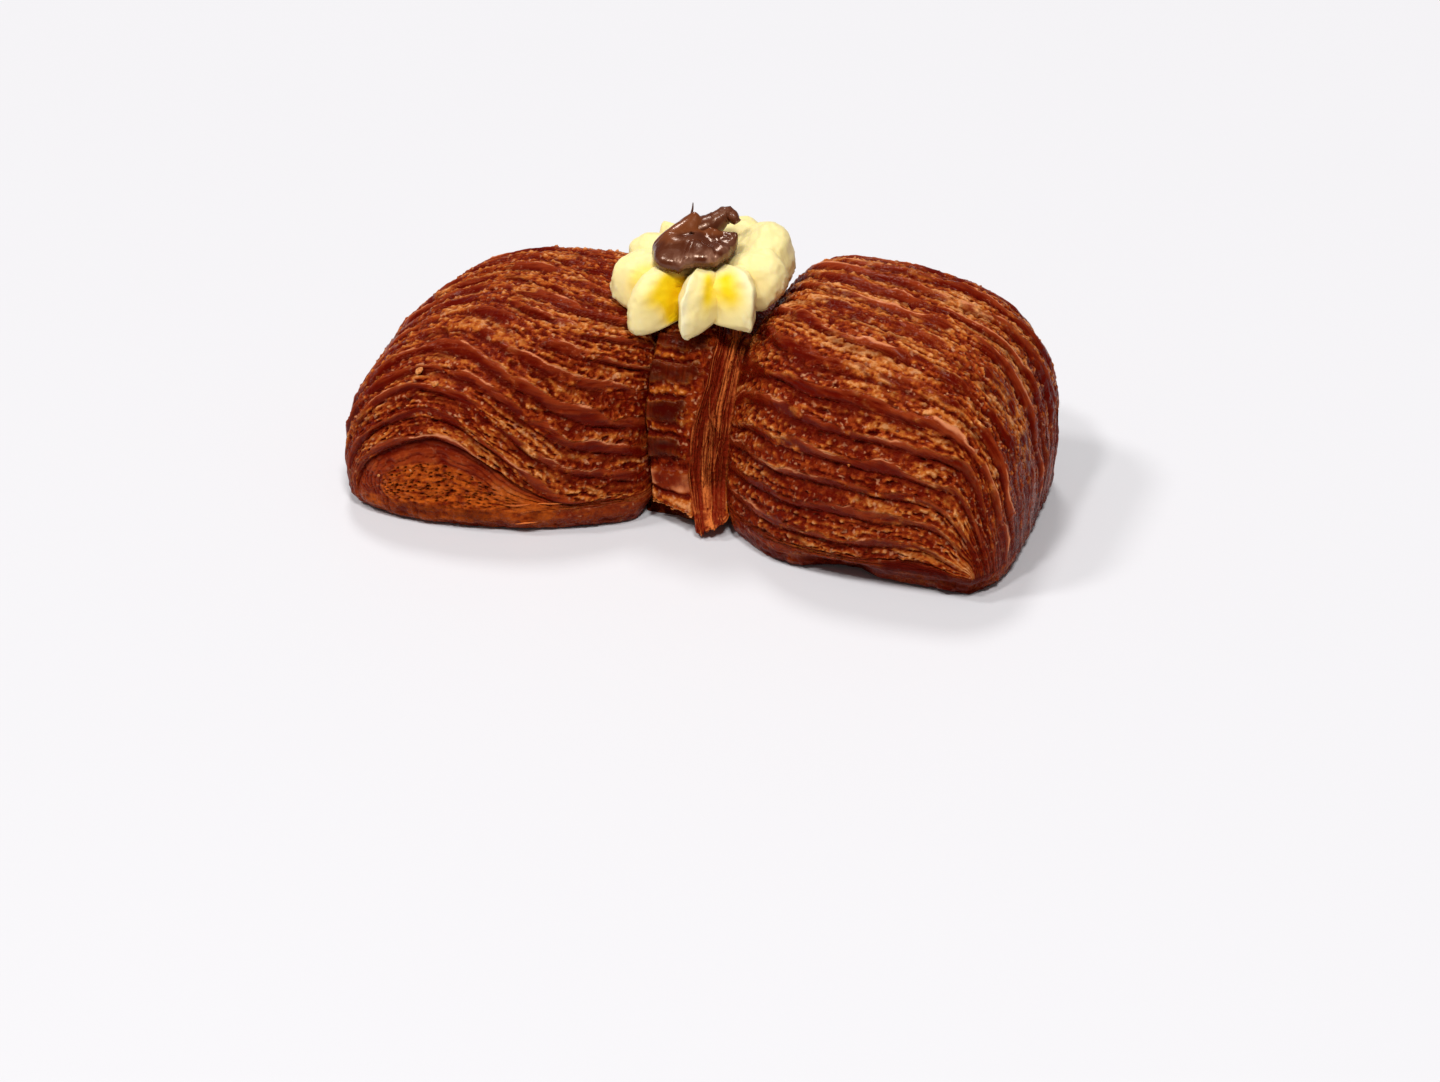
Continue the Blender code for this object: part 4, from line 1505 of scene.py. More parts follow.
    def close(self, points: Array, a: Array, b: Array) -> Shell:
        """Close the skin into a body.

        The front or back edge and the wing's end drop round a rounded foot to the ground, the
        edge at the seam drops straight, the underside is a strip of quads and one flat end,
        and a flat cap closes the waist.

        Args:
            points: The skin, as columns and rows.
            a: Places along the bow.
            b: Places from front to back.

        Returns:
            The closed shell, whose first points are the skin's.
        """
        columns, rows = points.shape[:2]
        rim_row, seam_row = (0, -1) if self.half is Half.FRONT else (-1, 0)
        points[:, rim_row, 2] = self.pillow.rim
        points[-1, :, 2] = self.pillow.rim
        order = np.arange(columns * rows).reshape(columns, rows)
        around = np.concatenate([order[:, 0], order[-1, 1:-1], order[::-1, -1]])
        seam = order[:-1, seam_row]
        start = points.reshape(-1, 3)[around]
        is_seam = np.isin(around, seam)
        inward = self.inward(np.broadcast_to(a, b.shape).ravel()[around], b.ravel()[around])
        floor = self.pillow.floor(start[:, 0])
        notch = self.notch(start[:, 0]) * (start[:, 1] < 0.0)
        rings = [around]
        places = [points.reshape(-1, 3)]
        first = columns * rows
        for step in range(1, self.foot_rings + 1):
            turn = math.pi / 2 * step / self.foot_rings
            drawn_in = self.pillow.undercut * (1.0 - math.cos(turn))
            drawn_in = drawn_in + notch * smooth_step(0.0, 0.3, step / self.foot_rings)
            foot = start[:, :2] + inward * drawn_in[:, None]
            level = np.where(is_seam, 1.0 - step / self.foot_rings, 1.0 - math.sin(turn))
            inset = self.pillow.undercut * (1.0 - math.cos(turn))
            end_x = np.abs(start[:, 0]).max() - inset
            seam_x = np.clip(start[:, 0], -end_x, end_x)
            straight = stacked(seam_x, start[:, 1])
            flat = np.where(is_seam[:, None], straight, foot)
            height = floor + (start[:, 2] - floor) * level
            pattern = self.foot_pattern(np.concatenate([start[:, :2], height[:, None]], axis=1))
            relief = self.foot_relief * math.sin(2.0 * turn) ** 0.7 * pattern
            relief = relief * (1.0 + 0.8 * np.minimum(notch / MM, 1.0))
            flat = flat - inward * (relief * ~is_seam)[:, None]
            places.append(np.concatenate([flat, height[:, None]], axis=1))
            rings.append(first + np.arange(len(around)))
            first += len(around)
        ring_order = np.stack(rings)
        walls = quads_of(ring_order)
        bottom = ring_order[-1]
        under = quads_of(np.stack([bottom[:columns], bottom[::-1][:columns]]))
        end_cap = [int(i) for i in bottom[columns - 1 : len(bottom) - columns + 1]]
        front_drop = [int(i) for i in ring_order[::-1, 0]]
        back_drop = [int(i) for i in ring_order[:, -1]]
        waist = [int(i) for i in order[0, 1:-1]]
        skin = grid_quads(columns, rows)[:, ::-1]
        quads = np.concatenate([skin, walls[:, ::-1], under])
        return Shell(np.concatenate(places), quads, [end_cap, front_drop + waist + back_drop])

    def notch(self, x: Array) -> Array:
        """How far the right wing's front foot is drawn in: a notch, then the lip's underside.

        Args:
            x: Places along the bow in metres.

        Returns:
            The distance.
        """
        if self.side is Side.LEFT:
            return 0.0 * x
        return sum(depth * plateau(*places, x / MM) for *places, depth in self.notches) * MM

    def foot_pattern(self, points: Array) -> Array:
        """Ragged level lines of the foot, from noise stretched along it."""
        stretched = points / (np.array([6.0, 6.0, 1.1]) * MM)
        return rough_noise(stretched, 137, 3) + 0.5 * rough_noise(points / (1.4 * MM), 139, 2)

    def inward(self, a: Array, b: Array) -> Array:
        """Level unit vectors from the rim inwards: the gradient of a plain superellipse.

        Args:
            a: Places along the bow.
            b: Places from front to back.

        Returns:
            The vectors.
        """
        side = stacked(np.sin(a * math.pi / 2), np.sin(b * math.pi / 2))
        slope = np.sign(side) * side**2 * np.array([0.5, 1.0])
        return -unit(slope)

    def painted(
        self, shell: Shell, zones: Array, cut: Array, flow: Array, shape: tuple[int, int]
    ) -> dict[str, Array]:
        """Paint for every vertex: the skin's own, and the base's below it.

        Args:
            shell: The closed shell.
            zones: Masks of the skin.
            cut: Cut masks of the skin.
            flow: Coordinates of the skin.
            shape: Columns and rows of the skin.

        Returns:
            The attributes by name.
        """
        added = len(shell.points) - shape[0] * shape[1]
        below = shell.points[-added:]
        under = smooth_step(self.pillow.rim, 0.5 * MM, below[:, 2])
        pattern = self.foot_pattern(below)
        patches = rough_noise(below / (4.0 * MM), 131, 3)
        in_front = self.half is Half.FRONT
        by_lens = mm_step(-9.5, -20.0, below[:, 0]) * in_front
        by_lens = by_lens * mm_step(-67.0, -60.0, below[:, 0])
        lip = self.notch(below[:, 0]) * in_front / (1.4 * MM)
        glazed = smooth_step(-0.05, 0.30, pattern) * (1.0 - 0.6 * under)
        # painted shade in the foot's recessed lines, darker towards the ground, and under the right
        # wing's lip over its darker inner layer; below, dark patches and painted shade in the holes
        # by the lens
        shade = 0.75 * smooth_step(0.0, -0.50, pattern) + 0.25 * under
        shade = np.maximum(shade, np.minimum(lip, 1.0) * (0.60 + 0.5 * pattern))
        shade = np.maximum(shade, 0.7 * by_lens * smooth_step(0.0, 0.5, patches))
        near, _, hole_tone = bubbles(below / (1.15 * MM), 141)
        hole = smooth_step(0.50, 0.15, near) * smooth_step(0.15, 0.50, hole_tone)
        hole = hole * by_lens * mm_step(-26.0, -36.0, below[:, 0])
        shade = np.maximum(shade, 0.75 * hole)
        base_zones = stacked(glazed * (1.0 - 0.6 * by_lens), shade, 0.20 + 0.5 * patches)
        tone = blend(0.20 + 0.4 * patches, 0.40 + 0.6 * pattern + 0.3 * patches, by_lens)
        base = (0.35 if in_front else 0.9) * under
        mixed = smooth_step(-0.10, 0.25, patches + 0.5 * pattern)
        amber = 0.9 * by_lens * blend(1.0, mixed, mm_step(-36.0, -24.0, below[:, 0]))
        base_cut = stacked(amber, np.clip(tone, 0.0, 1.0), base)
        all_zones = np.concatenate([zones.reshape(-1, 3), base_zones])
        all_cut = np.concatenate([cut.reshape(-1, 3), base_cut])
        return {
            "zones": rgba(*all_zones.T),
            "cut": rgba(*all_cut.T),
            "flow": np.concatenate([flow.reshape(-1, 3), below]),
        }


# ---------------------------------------------------------------------------------------------
# The band
# ---------------------------------------------------------------------------------------------


@dataclass(frozen=True)
class KnotBand:
    """The strip of dough tied round the waist, with scored squares and a layered cut edge."""

    pillow: Pillow
    gap: float = 0.3 * MM
    around: int = 640
    inner_points: int = 8
    cut_points: int = 64
    outer_points: int = 46
    left_points: int = 16
    ribs: int = 29
    rib_height: float = 0.90 * MM
    toe: float = 13.0 * MM
    toe_side: float = 4.0 * MM
    sheets: int = 11
    sheet_height: float = 0.70 * MM
    # Corners of the section: place along the bow and height above the waist
    unrolled_radius: float = 26.0 * MM
    inner_left: tuple[float, float] = (-8.6 * MM, 0.0)
    inner_right: tuple[float, float] = (9.4 * MM, 0.0)
    cut_top: tuple[float, float] = (2.0 * MM, 4.8 * MM)
    outer_left: tuple[float, float] = (-7.6 * MM, 4.7 * MM)
    left_side: tuple[float, float] = (-8.9 * MM, 2.6 * MM)

    def section(self) -> tuple[Array, Array, Array, Array]:
        """The band's section.

        Inner side, sagging cut face, slightly crowned outer face and round left edge follow
        each other as straight and quarter-round runs.

        Returns:
            For each of its points: place along the bow, distance from the waist, and the shares
            of the cut face and of the outer face.
        """
        sizes = (self.inner_points, self.cut_points, self.outer_points, self.left_points)
        t_in, t_cut, t_out, t_left = (np.linspace(0, 1, size, endpoint=False) for size in sizes)
        inner = [blend(self.inner_left[i], self.inner_right[i], t_in) for i in range(2)]
        sag = -0.7 * MM * hump(t_cut)
        cut = [
            blend(self.inner_right[0], self.cut_top[0], t_cut) + 0.4 * sag,
            blend(self.inner_right[1], self.cut_top[1], t_cut**0.85) + sag * 0.6,
        ]
        crown = 0.35 * MM * hump(t_out)
        outer = [
            blend(self.cut_top[0], self.outer_left[0], t_out),
            blend(self.cut_top[1], self.outer_left[1], t_out) + crown,
        ]
        turn = t_left * math.pi / 2
        left = [
            self.outer_left[0] - (self.outer_left[0] - self.left_side[0]) * np.sin(turn),
            self.outer_left[1] * (1.0 - t_left) ** 0.8,
        ]
        along = np.concatenate([inner[0], cut[0], outer[0], left[0]])
        grow = np.concatenate([inner[1], cut[1], outer[1], left[1]])
        past_cut = np.full(sizes[2] + sizes[3], 2.0)
        cut_share = np.concatenate([np.full(sizes[0], -1.0), t_cut, past_cut])
        outer_share = np.concatenate([np.full(sizes[0] + sizes[1], -1.0), t_out, 1.0 + t_left])
        return along, grow, cut_share, outer_share

    def build(self, material: bpy.types.Material) -> bpy.types.Object:
        """Work out the band and make it a piece.

        The section is carried round the waist. On the outer face the scored squares swell and
        the rows between them are foam. On the cut face thin sheets stand out as ridges that
        wander, part and close up along the band.

        Args:
            material: The layered crust's material.

        Returns:
            The piece.
        """
        along, grow, cut_share, outer_share = (line[None, :] for line in self.section())
        angle = (circle(self.around) - math.pi / 2)[:, None]
        shape = (self.around, along.shape[1])
        length = self.unrolled_radius * angle + 0.0 * along
        place = stacked(length, along, grow)
        on_cut = (cut_share >= 0.0) & (cut_share <= 1.0)
        cut = smooth_step(0.0, 0.05, cut_share) * smooth_step(1.0, 0.96, cut_share) * on_cut
        cut = np.broadcast_to(cut, shape)
        outer = np.broadcast_to((outer_share >= 0.0) * smooth_step(1.9, 1.0, outer_share), shape)
        _, level = self.pillow.waist_section(angle + 0.0 * along, grow + self.gap)
        in_front = smooth_step(-0.1, -0.6, np.cos(angle)) * np.ones(shape)
        low = mm_step(24.0, 3.0, level) * in_front
        plain, smooth_lobe, flake, hollow = self.foot_forms(place, level, in_front)
        square, groove = self.squares(angle, place, outer_share)
        square, groove = square * plain, groove * plain
        ridge, lit, gap_shade = self.sheet_lines(length, cut_share)
        rough = outer * (1.0 - square) * (1.0 - smooth_lobe)
        swell = 0.95 * self.rib_height * (square - 0.4) - 0.55 * MM * groove
        swell += rough * self.crumb_relief(place) + square * self.square_relief(place)
        swell += (1.1 * smooth_lobe + 1.7 * flake - 2.4 * hollow) * MM
        relief = outer * swell + cut * ridge
        near_ground = mm_step(9.0, 1.0, level) * in_front
        near_ground = near_ground * mm_step(-6.0, 10.0, along)
        near_ground = near_ground * smooth_step(-1.0, 0.0, cut_share)
        taper = 1.0 - np.where(along < 0.0, 0.34, 0.06) * low
        y, z = self.pillow.waist_section(angle + 0.0 * along, grow + relief + self.gap)
        x = self.pillow.place[0] + along * taper + cut * 0.45 * MM * (lit - 0.5)
        # the edge between the faces bends to the right at the top and at the foot
        by_edge = np.where(on_cut, cut_share, np.clip(1.0 - outer_share, 0.0, 1.0))
        by_edge = by_edge * ((cut_share >= 0.0) & (outer_share < 1.0))
        bend = 2.2 * mm_step(19.0, 31.0, level) + 1.4 * mm_step(12.0, 3.0, level)
        x = x + by_edge * bend * in_front * MM
        x = x + self.toe_side * near_ground
        y = y - self.toe * near_ground
        points = stacked(x, y, np.maximum(z, 0.02 * MM))
        # painted shade in the relief's hollows, the squares' grooves, the gaps between the cut
        # face's sheets and the hollow under the foot's flake; gold and tone are lighter on crests
        # as painted light
        cavity = (softened(relief, 4) - relief) / (0.35 * MM)
        hollowed = smooth_step(0.10, 1.3, cavity)
        glazed = outer * np.maximum(0.95 * square, 0.75 * smooth_lobe + 0.6 * hollow)
        shade = np.maximum(outer * np.maximum(0.8 * groove, 0.8 * hollowed), 0.8 * cut * gap_shade)
        shade = np.maximum(shade, 0.75 * hollow * outer)
        warm = rough_noise(place / (4.0 * MM), 205, 3)
        gold = 0.36 + 0.6 * warm - 0.45 * cavity + 0.3 * flake
        bright = 0.06 + 0.30 * warm - 0.15 * cavity + 0.68 * smooth_lobe
        tone = np.clip(blend(bright, lit, np.maximum(cut, flake)), 0.0, 1.0)
        hidden = smooth_step(0.0, -0.8, cut_share) + 0.6 * smooth_step(0.0, -0.9, np.sin(angle))
        base = np.clip(hidden, 0.0, 1.0) * (1.0 - in_front)
        zones = rgba(glazed, shade, gold)
        masks = rgba(np.maximum(cut, 0.25 * flake * outer), tone, base)
        order = np.arange(self.around * along.shape[1]).reshape(shape)
        quads = quads_of(np.pad(order, ((0, 1), (0, 1)), mode="wrap"))
        flow = stacked(length, along + grow, 3.0)
        paint = {"zones": zones, "cut": masks, "flow": flow.reshape(-1, 3)}
        return Shell(points.reshape(-1, 3), quads, [], paint).make("knot_band_dough", material)

    def foot_forms(
        self, place: Array, level: Array, in_front: Array
    ) -> tuple[Array, Array, Array, Array]:
        """Forms at the foot of the front, whose heights wander by noise.

        Args:
            place: Places on the unrolled band.
            level: Heights above the ground.
            in_front: Share of the front.

        Returns:
            Masks: where the face is still plain, the smooth lobe, the torn flake under it, and
            the hollow below the flake.
        """
        wander = 1.1 * MM * rough_noise(place / (4.5 * MM), 225, 2)
        torn = 0.8 * MM * rough_noise(place / (1.6 * MM), 227, 3)
        height = level + wander
        plain = 1.0 - mm_step(13.5, 12.0, height) * in_front
        lobe = mm_step(13.0, 11.2, height) * mm_step(7.0, 8.2, height)
        ragged = height + torn
        flake = mm_step(7.6, 6.6, height) * mm_step(3.9, 4.5, ragged)
        hollow = mm_step(4.4, 3.8, ragged)
        return plain, lobe * in_front, flake * in_front, hollow * in_front

    def crumb_relief(self, place: Array) -> Array:
        """Bubbles and pits of the rough rows.

        Args:
            place: Places on the unrolled band.

        Returns:
            The height.
        """
        bubble = knobs(place / (1.15 * MM), 211, 2.6, 0.7)
        bubble += 0.5 * knobs(place / (0.7 * MM), 213, 2.4, 0.6)
        pit = smooth_step(0.20, 0.55, rough_noise(place / (1.5 * MM), 215, 3))
        return 0.55 * MM * (bubble - pit)

    def square_relief(self, place: Array) -> Array:
        """Soft dents and wrinkles of the glazed squares.

        Args:
            place: Places on the unrolled band.

        Returns:
            The height.
        """
        dent = rough_noise(place / (3.0 * MM), 217, 2)
        wrinkle = rough_noise(place / (np.array([0.9, 3.5, 1.0]) * MM), 219, 2)
        return (0.60 * dent + 0.40 * wrinkle) * MM

    def squares(self, angle: Array, place: Array, outer_share: Array) -> tuple[Array, Array]:
        """Scored squares of the outer face.

        A square takes 60% of each period along the band, with ragged edges, and it thins out
        near the cut edge, where the face is all crumb.

        Args:
            angle: Angles round the waist.
            place: Places on the unrolled band.
            outer_share: Places across the outer face, from 0 to 1.

        Returns:
            Masks of the squares and of the grooves under them.
        """
        ragged = 0.22 * rough_noise(place / (2.6 * MM), 231, 4) + 0.012 * place[..., 1] / MM
        phase = angle * self.ribs / (2.0 * math.pi) + 0.35 + ragged
        within = fraction(phase)
        square = plateau(0.02, 0.10, 0.58, 0.66, within)
        edge = 0.38 * rough_noise(place / (2.2 * MM), 241, 4)
        by_cut = smooth_step(0.14, 0.24, outer_share + edge)
        groove = smooth_step(0.86, 0.97, within) + smooth_step(0.06, 0.0, within)
        return square * by_cut, groove * by_cut

    def sheet_lines(self, length: Array, cut_share: Array) -> tuple[Array, Array, Array]:
        """Sheets of the cut face.

        The sheets' coordinate is the share of the face times their number, bent by slow noise
        along the band. A ridge is the sine of its fraction, and each sheet has its own reach
        and brightness, which change slowly along the band.

        Args:
            length: Places along the band.
            cut_share: Places across the cut face, from 0 to 1.

        Returns:
            The ridges' height, the brightness with painted light on ridges and standing sheets,
            and painted shade in the gaps between the ridges.
        """
        slow = stacked(length / (15.0 * MM), 2.2 * cut_share, 0.0)
        quick = stacked(length / (4.0 * MM), 5.0 * cut_share, 0.0)
        uneven = value_noise(stacked(0.2 * slow[..., 0], 3.5 * slow[..., 1], 0.0), 253)
        bent = cut_share * self.sheets + 0.9 * rough_noise(slow, 251, 2) + 1.1 * uneven
        bent = bent + 0.22 * rough_noise(quick, 261, 3)
        number = np.floor(bent)
        ridge = hump(bent - number, 0.55)
        per_sheet = stacked(length / (18.0 * MM), number * 1.7, 0.5)
        reach = value_noise(per_sheet, 271)
        split = stacked(length / (3.0 * MM), bent * 3.0, 0.0)
        fibre = rough_noise(split, 281, 3)
        height = self.sheet_height * (ridge * (1.0 + 0.7 * reach) - 0.6) + 0.22 * MM * fibre
        centre = 0.50 + 0.10 * value_noise(slow * np.array([1.0, 0.0, 0.0]), 255)
        glow = bump_at(cut_share - centre, 0.0, 0.12)
        waning = 0.75 + 0.45 * value_noise(slow * np.array([1.6, 0.0, 0.0]), 257)
        # painted light on ridges and standing sheets, with lit brighter along the middle of the
        # face; gap is painted shade between the sheets
        lit = 0.08 + 0.90 * glow * waning + 0.50 * reach + 0.55 * fibre + 0.30 * (ridge - 0.6)
        gap = smooth_step(0.60, 0.15, ridge + 0.15 * fibre) * 0.85
        return height, np.clip(lit, 0.0, 1.0), gap


# ---------------------------------------------------------------------------------------------
# The toppings
# ---------------------------------------------------------------------------------------------


class HeightMap:
    """Highest surface over each place of the ground, from the vertices of finished pieces."""

    # Cells that are left free round the pieces
    margin = 8

    def __init__(self, pieces: Sequence[bpy.types.Object], cell: float, spread: int) -> None:
        """Raster the pieces' vertices.

        Args:
            pieces: Pieces to read.
            cell: Size of a cell.
            spread: How many cells round a place count.
        """
        clouds = []
        for piece in pieces:
            flat = np.empty(len(piece.data.vertices) * 3, np.float32)
            piece.data.vertices.foreach_get("co", flat)
            clouds.append(flat.reshape(-1, 3))
        cloud = np.concatenate(clouds)
        self.cell = cell
        self.low = cloud[:, :2].min(axis=0) - self.margin * cell
        size = np.ceil((cloud[:, :2].max(axis=0) - self.low) / cell).astype(int) + self.margin
        heights = np.zeros(size)
        index = ((cloud[:, :2] - self.low) / cell).astype(int)
        np.maximum.at(heights, (index[:, 0], index[:, 1]), cloud[:, 2])
        for _ in range(spread):
            padded = np.pad(heights, 1)
            nearby = [
                padded[1 + i : 1 + i + size[0], 1 + j : 1 + j + size[1]]
                for i, j in product((-1, 0, 1), repeat=2)
            ]
            heights = np.max(nearby, axis=0)
        self.heights = heights

    def at(self, x: Array, y: Array) -> Array:
        """Height at each place, mixed from the four cells round it.

        Args:
            x: Places along the bow.
            y: Places across it.

        Returns:
            The heights.
        """
        u = np.clip((x - self.low[0]) / self.cell - 0.5, 0, self.heights.shape[0] - 2)
        v = np.clip((y - self.low[1]) / self.cell - 0.5, 0, self.heights.shape[1] - 2)
        i, j = u.astype(int), v.astype(int)
        s, t = u - i, v - j
        lower = blend(self.heights[i, j], self.heights[i + 1, j], s)
        upper = blend(self.heights[i, j + 1], self.heights[i + 1, j + 1], s)
        return blend(lower, upper, t)


@dataclass(frozen=True)
class Petal:
    """One piped lobe: its ridge and the half widths to both sides in degrees, its reach, the
    height of its lower edge and its lift above the dome in mm, how pointed its ridge is (0
    round, 1 sharp) and how far it swells out of the dome."""

    ridge: float
    before: float
    after: float
    reach: float
    low: float
    lift: float
    point: float = 0.0
    swell: float = 1.0


@dataclass(frozen=True)
class CreamRosette:
    """The piped rosette: petals that droop from a dome, with sharp yellow grooves."""

    pillow: Pillow
    centre: tuple[float, float] = (-1.2 * MM, 8.5 * MM)
    top: float = 47.6 * MM
    puff: float = 3.8 * MM
    groove: float = 0.56
    gap: float = 0.25 * MM
    rim: float = 1.9 * MM
    around: int = 460
    rings: int = 150
    petals: tuple[Petal, ...] = (
        Petal(18, 44, 56, 17.2, 44.0, 4.2),
        Petal(80, 30, 24, 16.6, 44.0, 0.6),
        Petal(112, 22, 17, 17.2, 43.0, -1.2, 0.3),
        Petal(142, 18, 16, 18.6, 42.0, -0.2, 0.8),
        Petal(170, 21, 20, 18.8, 41.0, -0.4, 0.2),
        Petal(203, 26, 26, 20.2, 36.6, -0.2, 0.1),
        Petal(237, 18, 17, 20.6, 36.6, -0.4, 0.3),
        Petal(272, 12, 34, 20.0, 38.6, 0.8, 1.0),
        Petal(314, 34, 20, 20.2, 39.8, 1.2, 1.0),
        Petal(343, 22, 24, 18.0, 42.2, 2.0, 0.1),
    )
    # Strength, angle and half width in degrees: of the grooves at the front that light gets
    # into, of the petals' flanks that get painted shade, and of the ridges' lips that get a
    # painted highlight
    glows: tuple[Triple, ...] = ((0.85, 256.0, 10.0), (0.30, 293.0, 9.0))
    flanks: tuple[Triple, ...] = (
        (0.95, 249.0, 7.0), (0.50, 221.0, 6.0), (0.85, 301.0, 9.0), (0.75, 286.0, 5.0),
    )
    lips: tuple[Triple, ...] = ((0.8, 272.0, 2.2), (0.5, 314.0, 3.0))

    def swell(self, angle: Array) -> tuple[Array, Array]:
        """Swell of the petals, 0 in a groove and 1 on a crest, and the reach there.

        A round petal swells by the square root of 1 - away^2, a pointed one by a power of
        1 - away near one, where away is 1 at the petal's edge. The largest one wins.

        Args:
            angle: Angles round the rosette.

        Returns:
            The swell and the reach.
        """
        degrees = np.degrees(angle)
        swell = np.zeros_like(angle)
        reach = np.full_like(angle, self.petals[0].reach * MM)
        for petal in self.petals:
            offset = (degrees - petal.ridge + 180.0) % 360.0 - 180.0
            away = np.abs(offset) / np.where(offset < 0, petal.before, petal.after)
            left = 1.0 - np.clip(away, 0.0, 1.0) ** blend(2.0, 1.05, petal.point)
            inside = petal.swell * left ** blend(0.5, 0.85, petal.point)
            reach = np.where(inside > swell, petal.reach * MM, reach)
            swell = np.maximum(swell, inside)
        return swell, reach

    def build(self, ground: HeightMap, material: bpy.types.Material) -> bpy.types.Object:
        """Work out the rosette and make it a piece.

        Radius is the petal's reach times a power of the sine of the polar angle, drawn in at
        the grooves. Height is a dome above the rim plus the petals' puff, and below the rim the
        underside follows what lies under it.

        Args:
            ground: Heights of what it sits on.
            material: The cream's material.

        Returns:
            The piece.
        """
        angle = circle(self.around)[None, :]
        t = np.linspace(0.0, 1.0, self.rings + 1)[1:-1]
        polar = math.pi * (0.70 * t + 0.30 * t**2)[:, None]
        place = stacked(np.cos(angle) * 3.0, np.sin(angle) * 3.0, polar * 2.0)
        twist = 0.07 * rough_noise(place, 301, 2)
        swell, reach = self.swell(angle + twist)
        low, lift = self.edges(angle)
        slope = np.sin(polar) ** 0.85
        depth = blend(0.86, self.groove, smooth_step(0.25, 1.15, polar))
        radius = reach * slope * (depth + (1.0 - depth) * swell)
        tucked = blend(1.0, 0.94, np.clip((polar - math.pi / 2) * 1.5, 0, 1))
        is_upper = polar < math.pi / 2
        radius = np.where(is_upper, radius, radius * tucked)
        middle_x, middle_y = self.pillow.centred(self.centre)
        x = middle_x + radius * np.cos(angle)
        y = middle_y + radius * np.sin(angle)
        bottom = np.maximum(ground.at(x, y) + self.gap, low + 2.0 * MM * (1.0 - swell))
        rim = bottom + self.rim
        dome = rim + (self.top - rim) * np.clip(np.cos(polar), 0.0, 1.0) ** 0.65
        outer = smooth_step(0.12, 0.62, polar)
        puff = (self.puff * swell + lift * outer) * np.sin(np.minimum(2.0 * polar, math.pi)) ** 0.8
        under_rim = np.clip((math.radians(118) - polar) / math.radians(28), 0.0, 1.0)
        z = np.where(is_upper, dome + puff, bottom + self.rim * under_rim**2)
        points = stacked(x, y, z)
        normal, _, _ = along_grid(points)
        sign = -1.0 if np.mean(normal[: self.rings // 3, :, 2]) < 0 else 1.0
        lines = rough_noise(stacked(angle * 14.0, polar * 1.6, 0.0), 311, 2)
        soft = rough_noise(points / (2.4 * MM), 321, 2)
        torn = smooth_step(0.75, 1.0, swell) * smooth_step(1.25, 1.6, polar)
        torn = torn * smooth_step(0.0, 0.5, rough_noise(points / (0.9 * MM), 331, 3))
        upper = smooth_step(1.9, 1.4, polar)
        relief = upper * (0.06 * lines + 0.42 * soft) * MM + torn * 0.25 * MM
        points = points + normal * (sign * relief)[..., None]
        # painted shade: yellow in the grooves and on the petals' flanks, more where light gets into
        # the front grooves; painted highlights on the ridges' lips
        deep = smooth_step(0.62, 0.10, swell) * smooth_step(0.35, 1.0, polar)
        degrees = np.degrees(angle) % 360.0
        glowing, flank_shade, ridge = (
            sum(high * bump_at(degrees, middle, width) for high, middle, width in bells)
            for bells in (self.glows, self.flanks, self.lips)
        )
        midway = plateau(0.4, 0.8, 1.15, 1.65, polar)
        torn_and_highlight = np.maximum(0.6 * torn, ridge * smooth_step(0.5, 0.8, polar))
        paint = {"zones": rgba(deep * (0.42 + glowing) + flank_shade * midway, torn_and_highlight, 0.0 * deep)}
        return ring_shell(points, paint).make("cream_rosette_piped", material)

    def edges(self, angle: Array) -> tuple[Array, Array]:
        """Mix two of the petals' sizes between their ridges.

        Args:
            angle: Angles round the rosette.

        Returns:
            Height of the lower edge, and lift above the dome.
        """
        ridges = [petal.ridge for petal in self.petals]
        low, lift = (
            np.interp(np.degrees(angle), ridges, sizes, period=360.0) * MM
            for sizes in zip(*((petal.low, petal.lift) for petal in self.petals))
        )
        return low, lift


@dataclass(frozen=True)
class Fold:
    """A ridge or dent on the chocolate, from one place to another in mm round its centre."""

    start: tuple[float, float]
    end: tuple[float, float]
    width: float
    height: float


@dataclass(frozen=True)
class Strand:
    """A tapering lumpy tube: points of its middle line in mm, radii in mm at both ends, places
    along it and round it, and the share by which its radius varies near the tip."""

    path: tuple[Triple, ...]
    radius: float
    tip: float
    steps: int
    sides: int
    rough: float

    def shell(self, origin: Triple) -> Shell:
        """Work out the tube.

        The points are joined by straight runs and smoothed by a sliding mean, and the radius
        falls evenly to the tip and varies by noise.

        Args:
            origin: Place that the path is measured from.

        Returns:
            The closed tube with its paint.
        """
        corners = np.array(self.path) * MM + np.array(origin)
        t = np.linspace(0.0, len(corners) - 1.0, self.steps)
        line = stacked(*(np.interp(t, np.arange(len(corners)), part) for part in corners.T))
        for _ in range(4):
            line[1:-1] = (line[:-2] + 2.0 * line[1:-1] + line[2:]) / 4.0
        share = np.linspace(0.0, 1.0, self.steps)
        ramp = self.rough * share**1.5
        lumps = 1.0 + ramp * rough_noise(line / (1.0 * MM), 421, 2)
        radii = blend(self.radius * MM, self.tip * MM, share) * lumps
        shell = tubes(line[None], radii[None], self.sides)
        turned = rough_noise(shell.points / (0.7 * MM), 431, 2)
        centre = np.repeat(line, self.sides, axis=0)
        per_point = np.repeat(ramp, self.sides)
        shell.points = centre + (shell.points - centre) * (1.0 + per_point * turned)[:, None]
        smooth = np.zeros(len(per_point))
        # a little of the crests' painted light all along the strand
        shell.paint = {"zones": rgba(smooth, smooth + 0.3, per_point / self.rough)}
        return shell


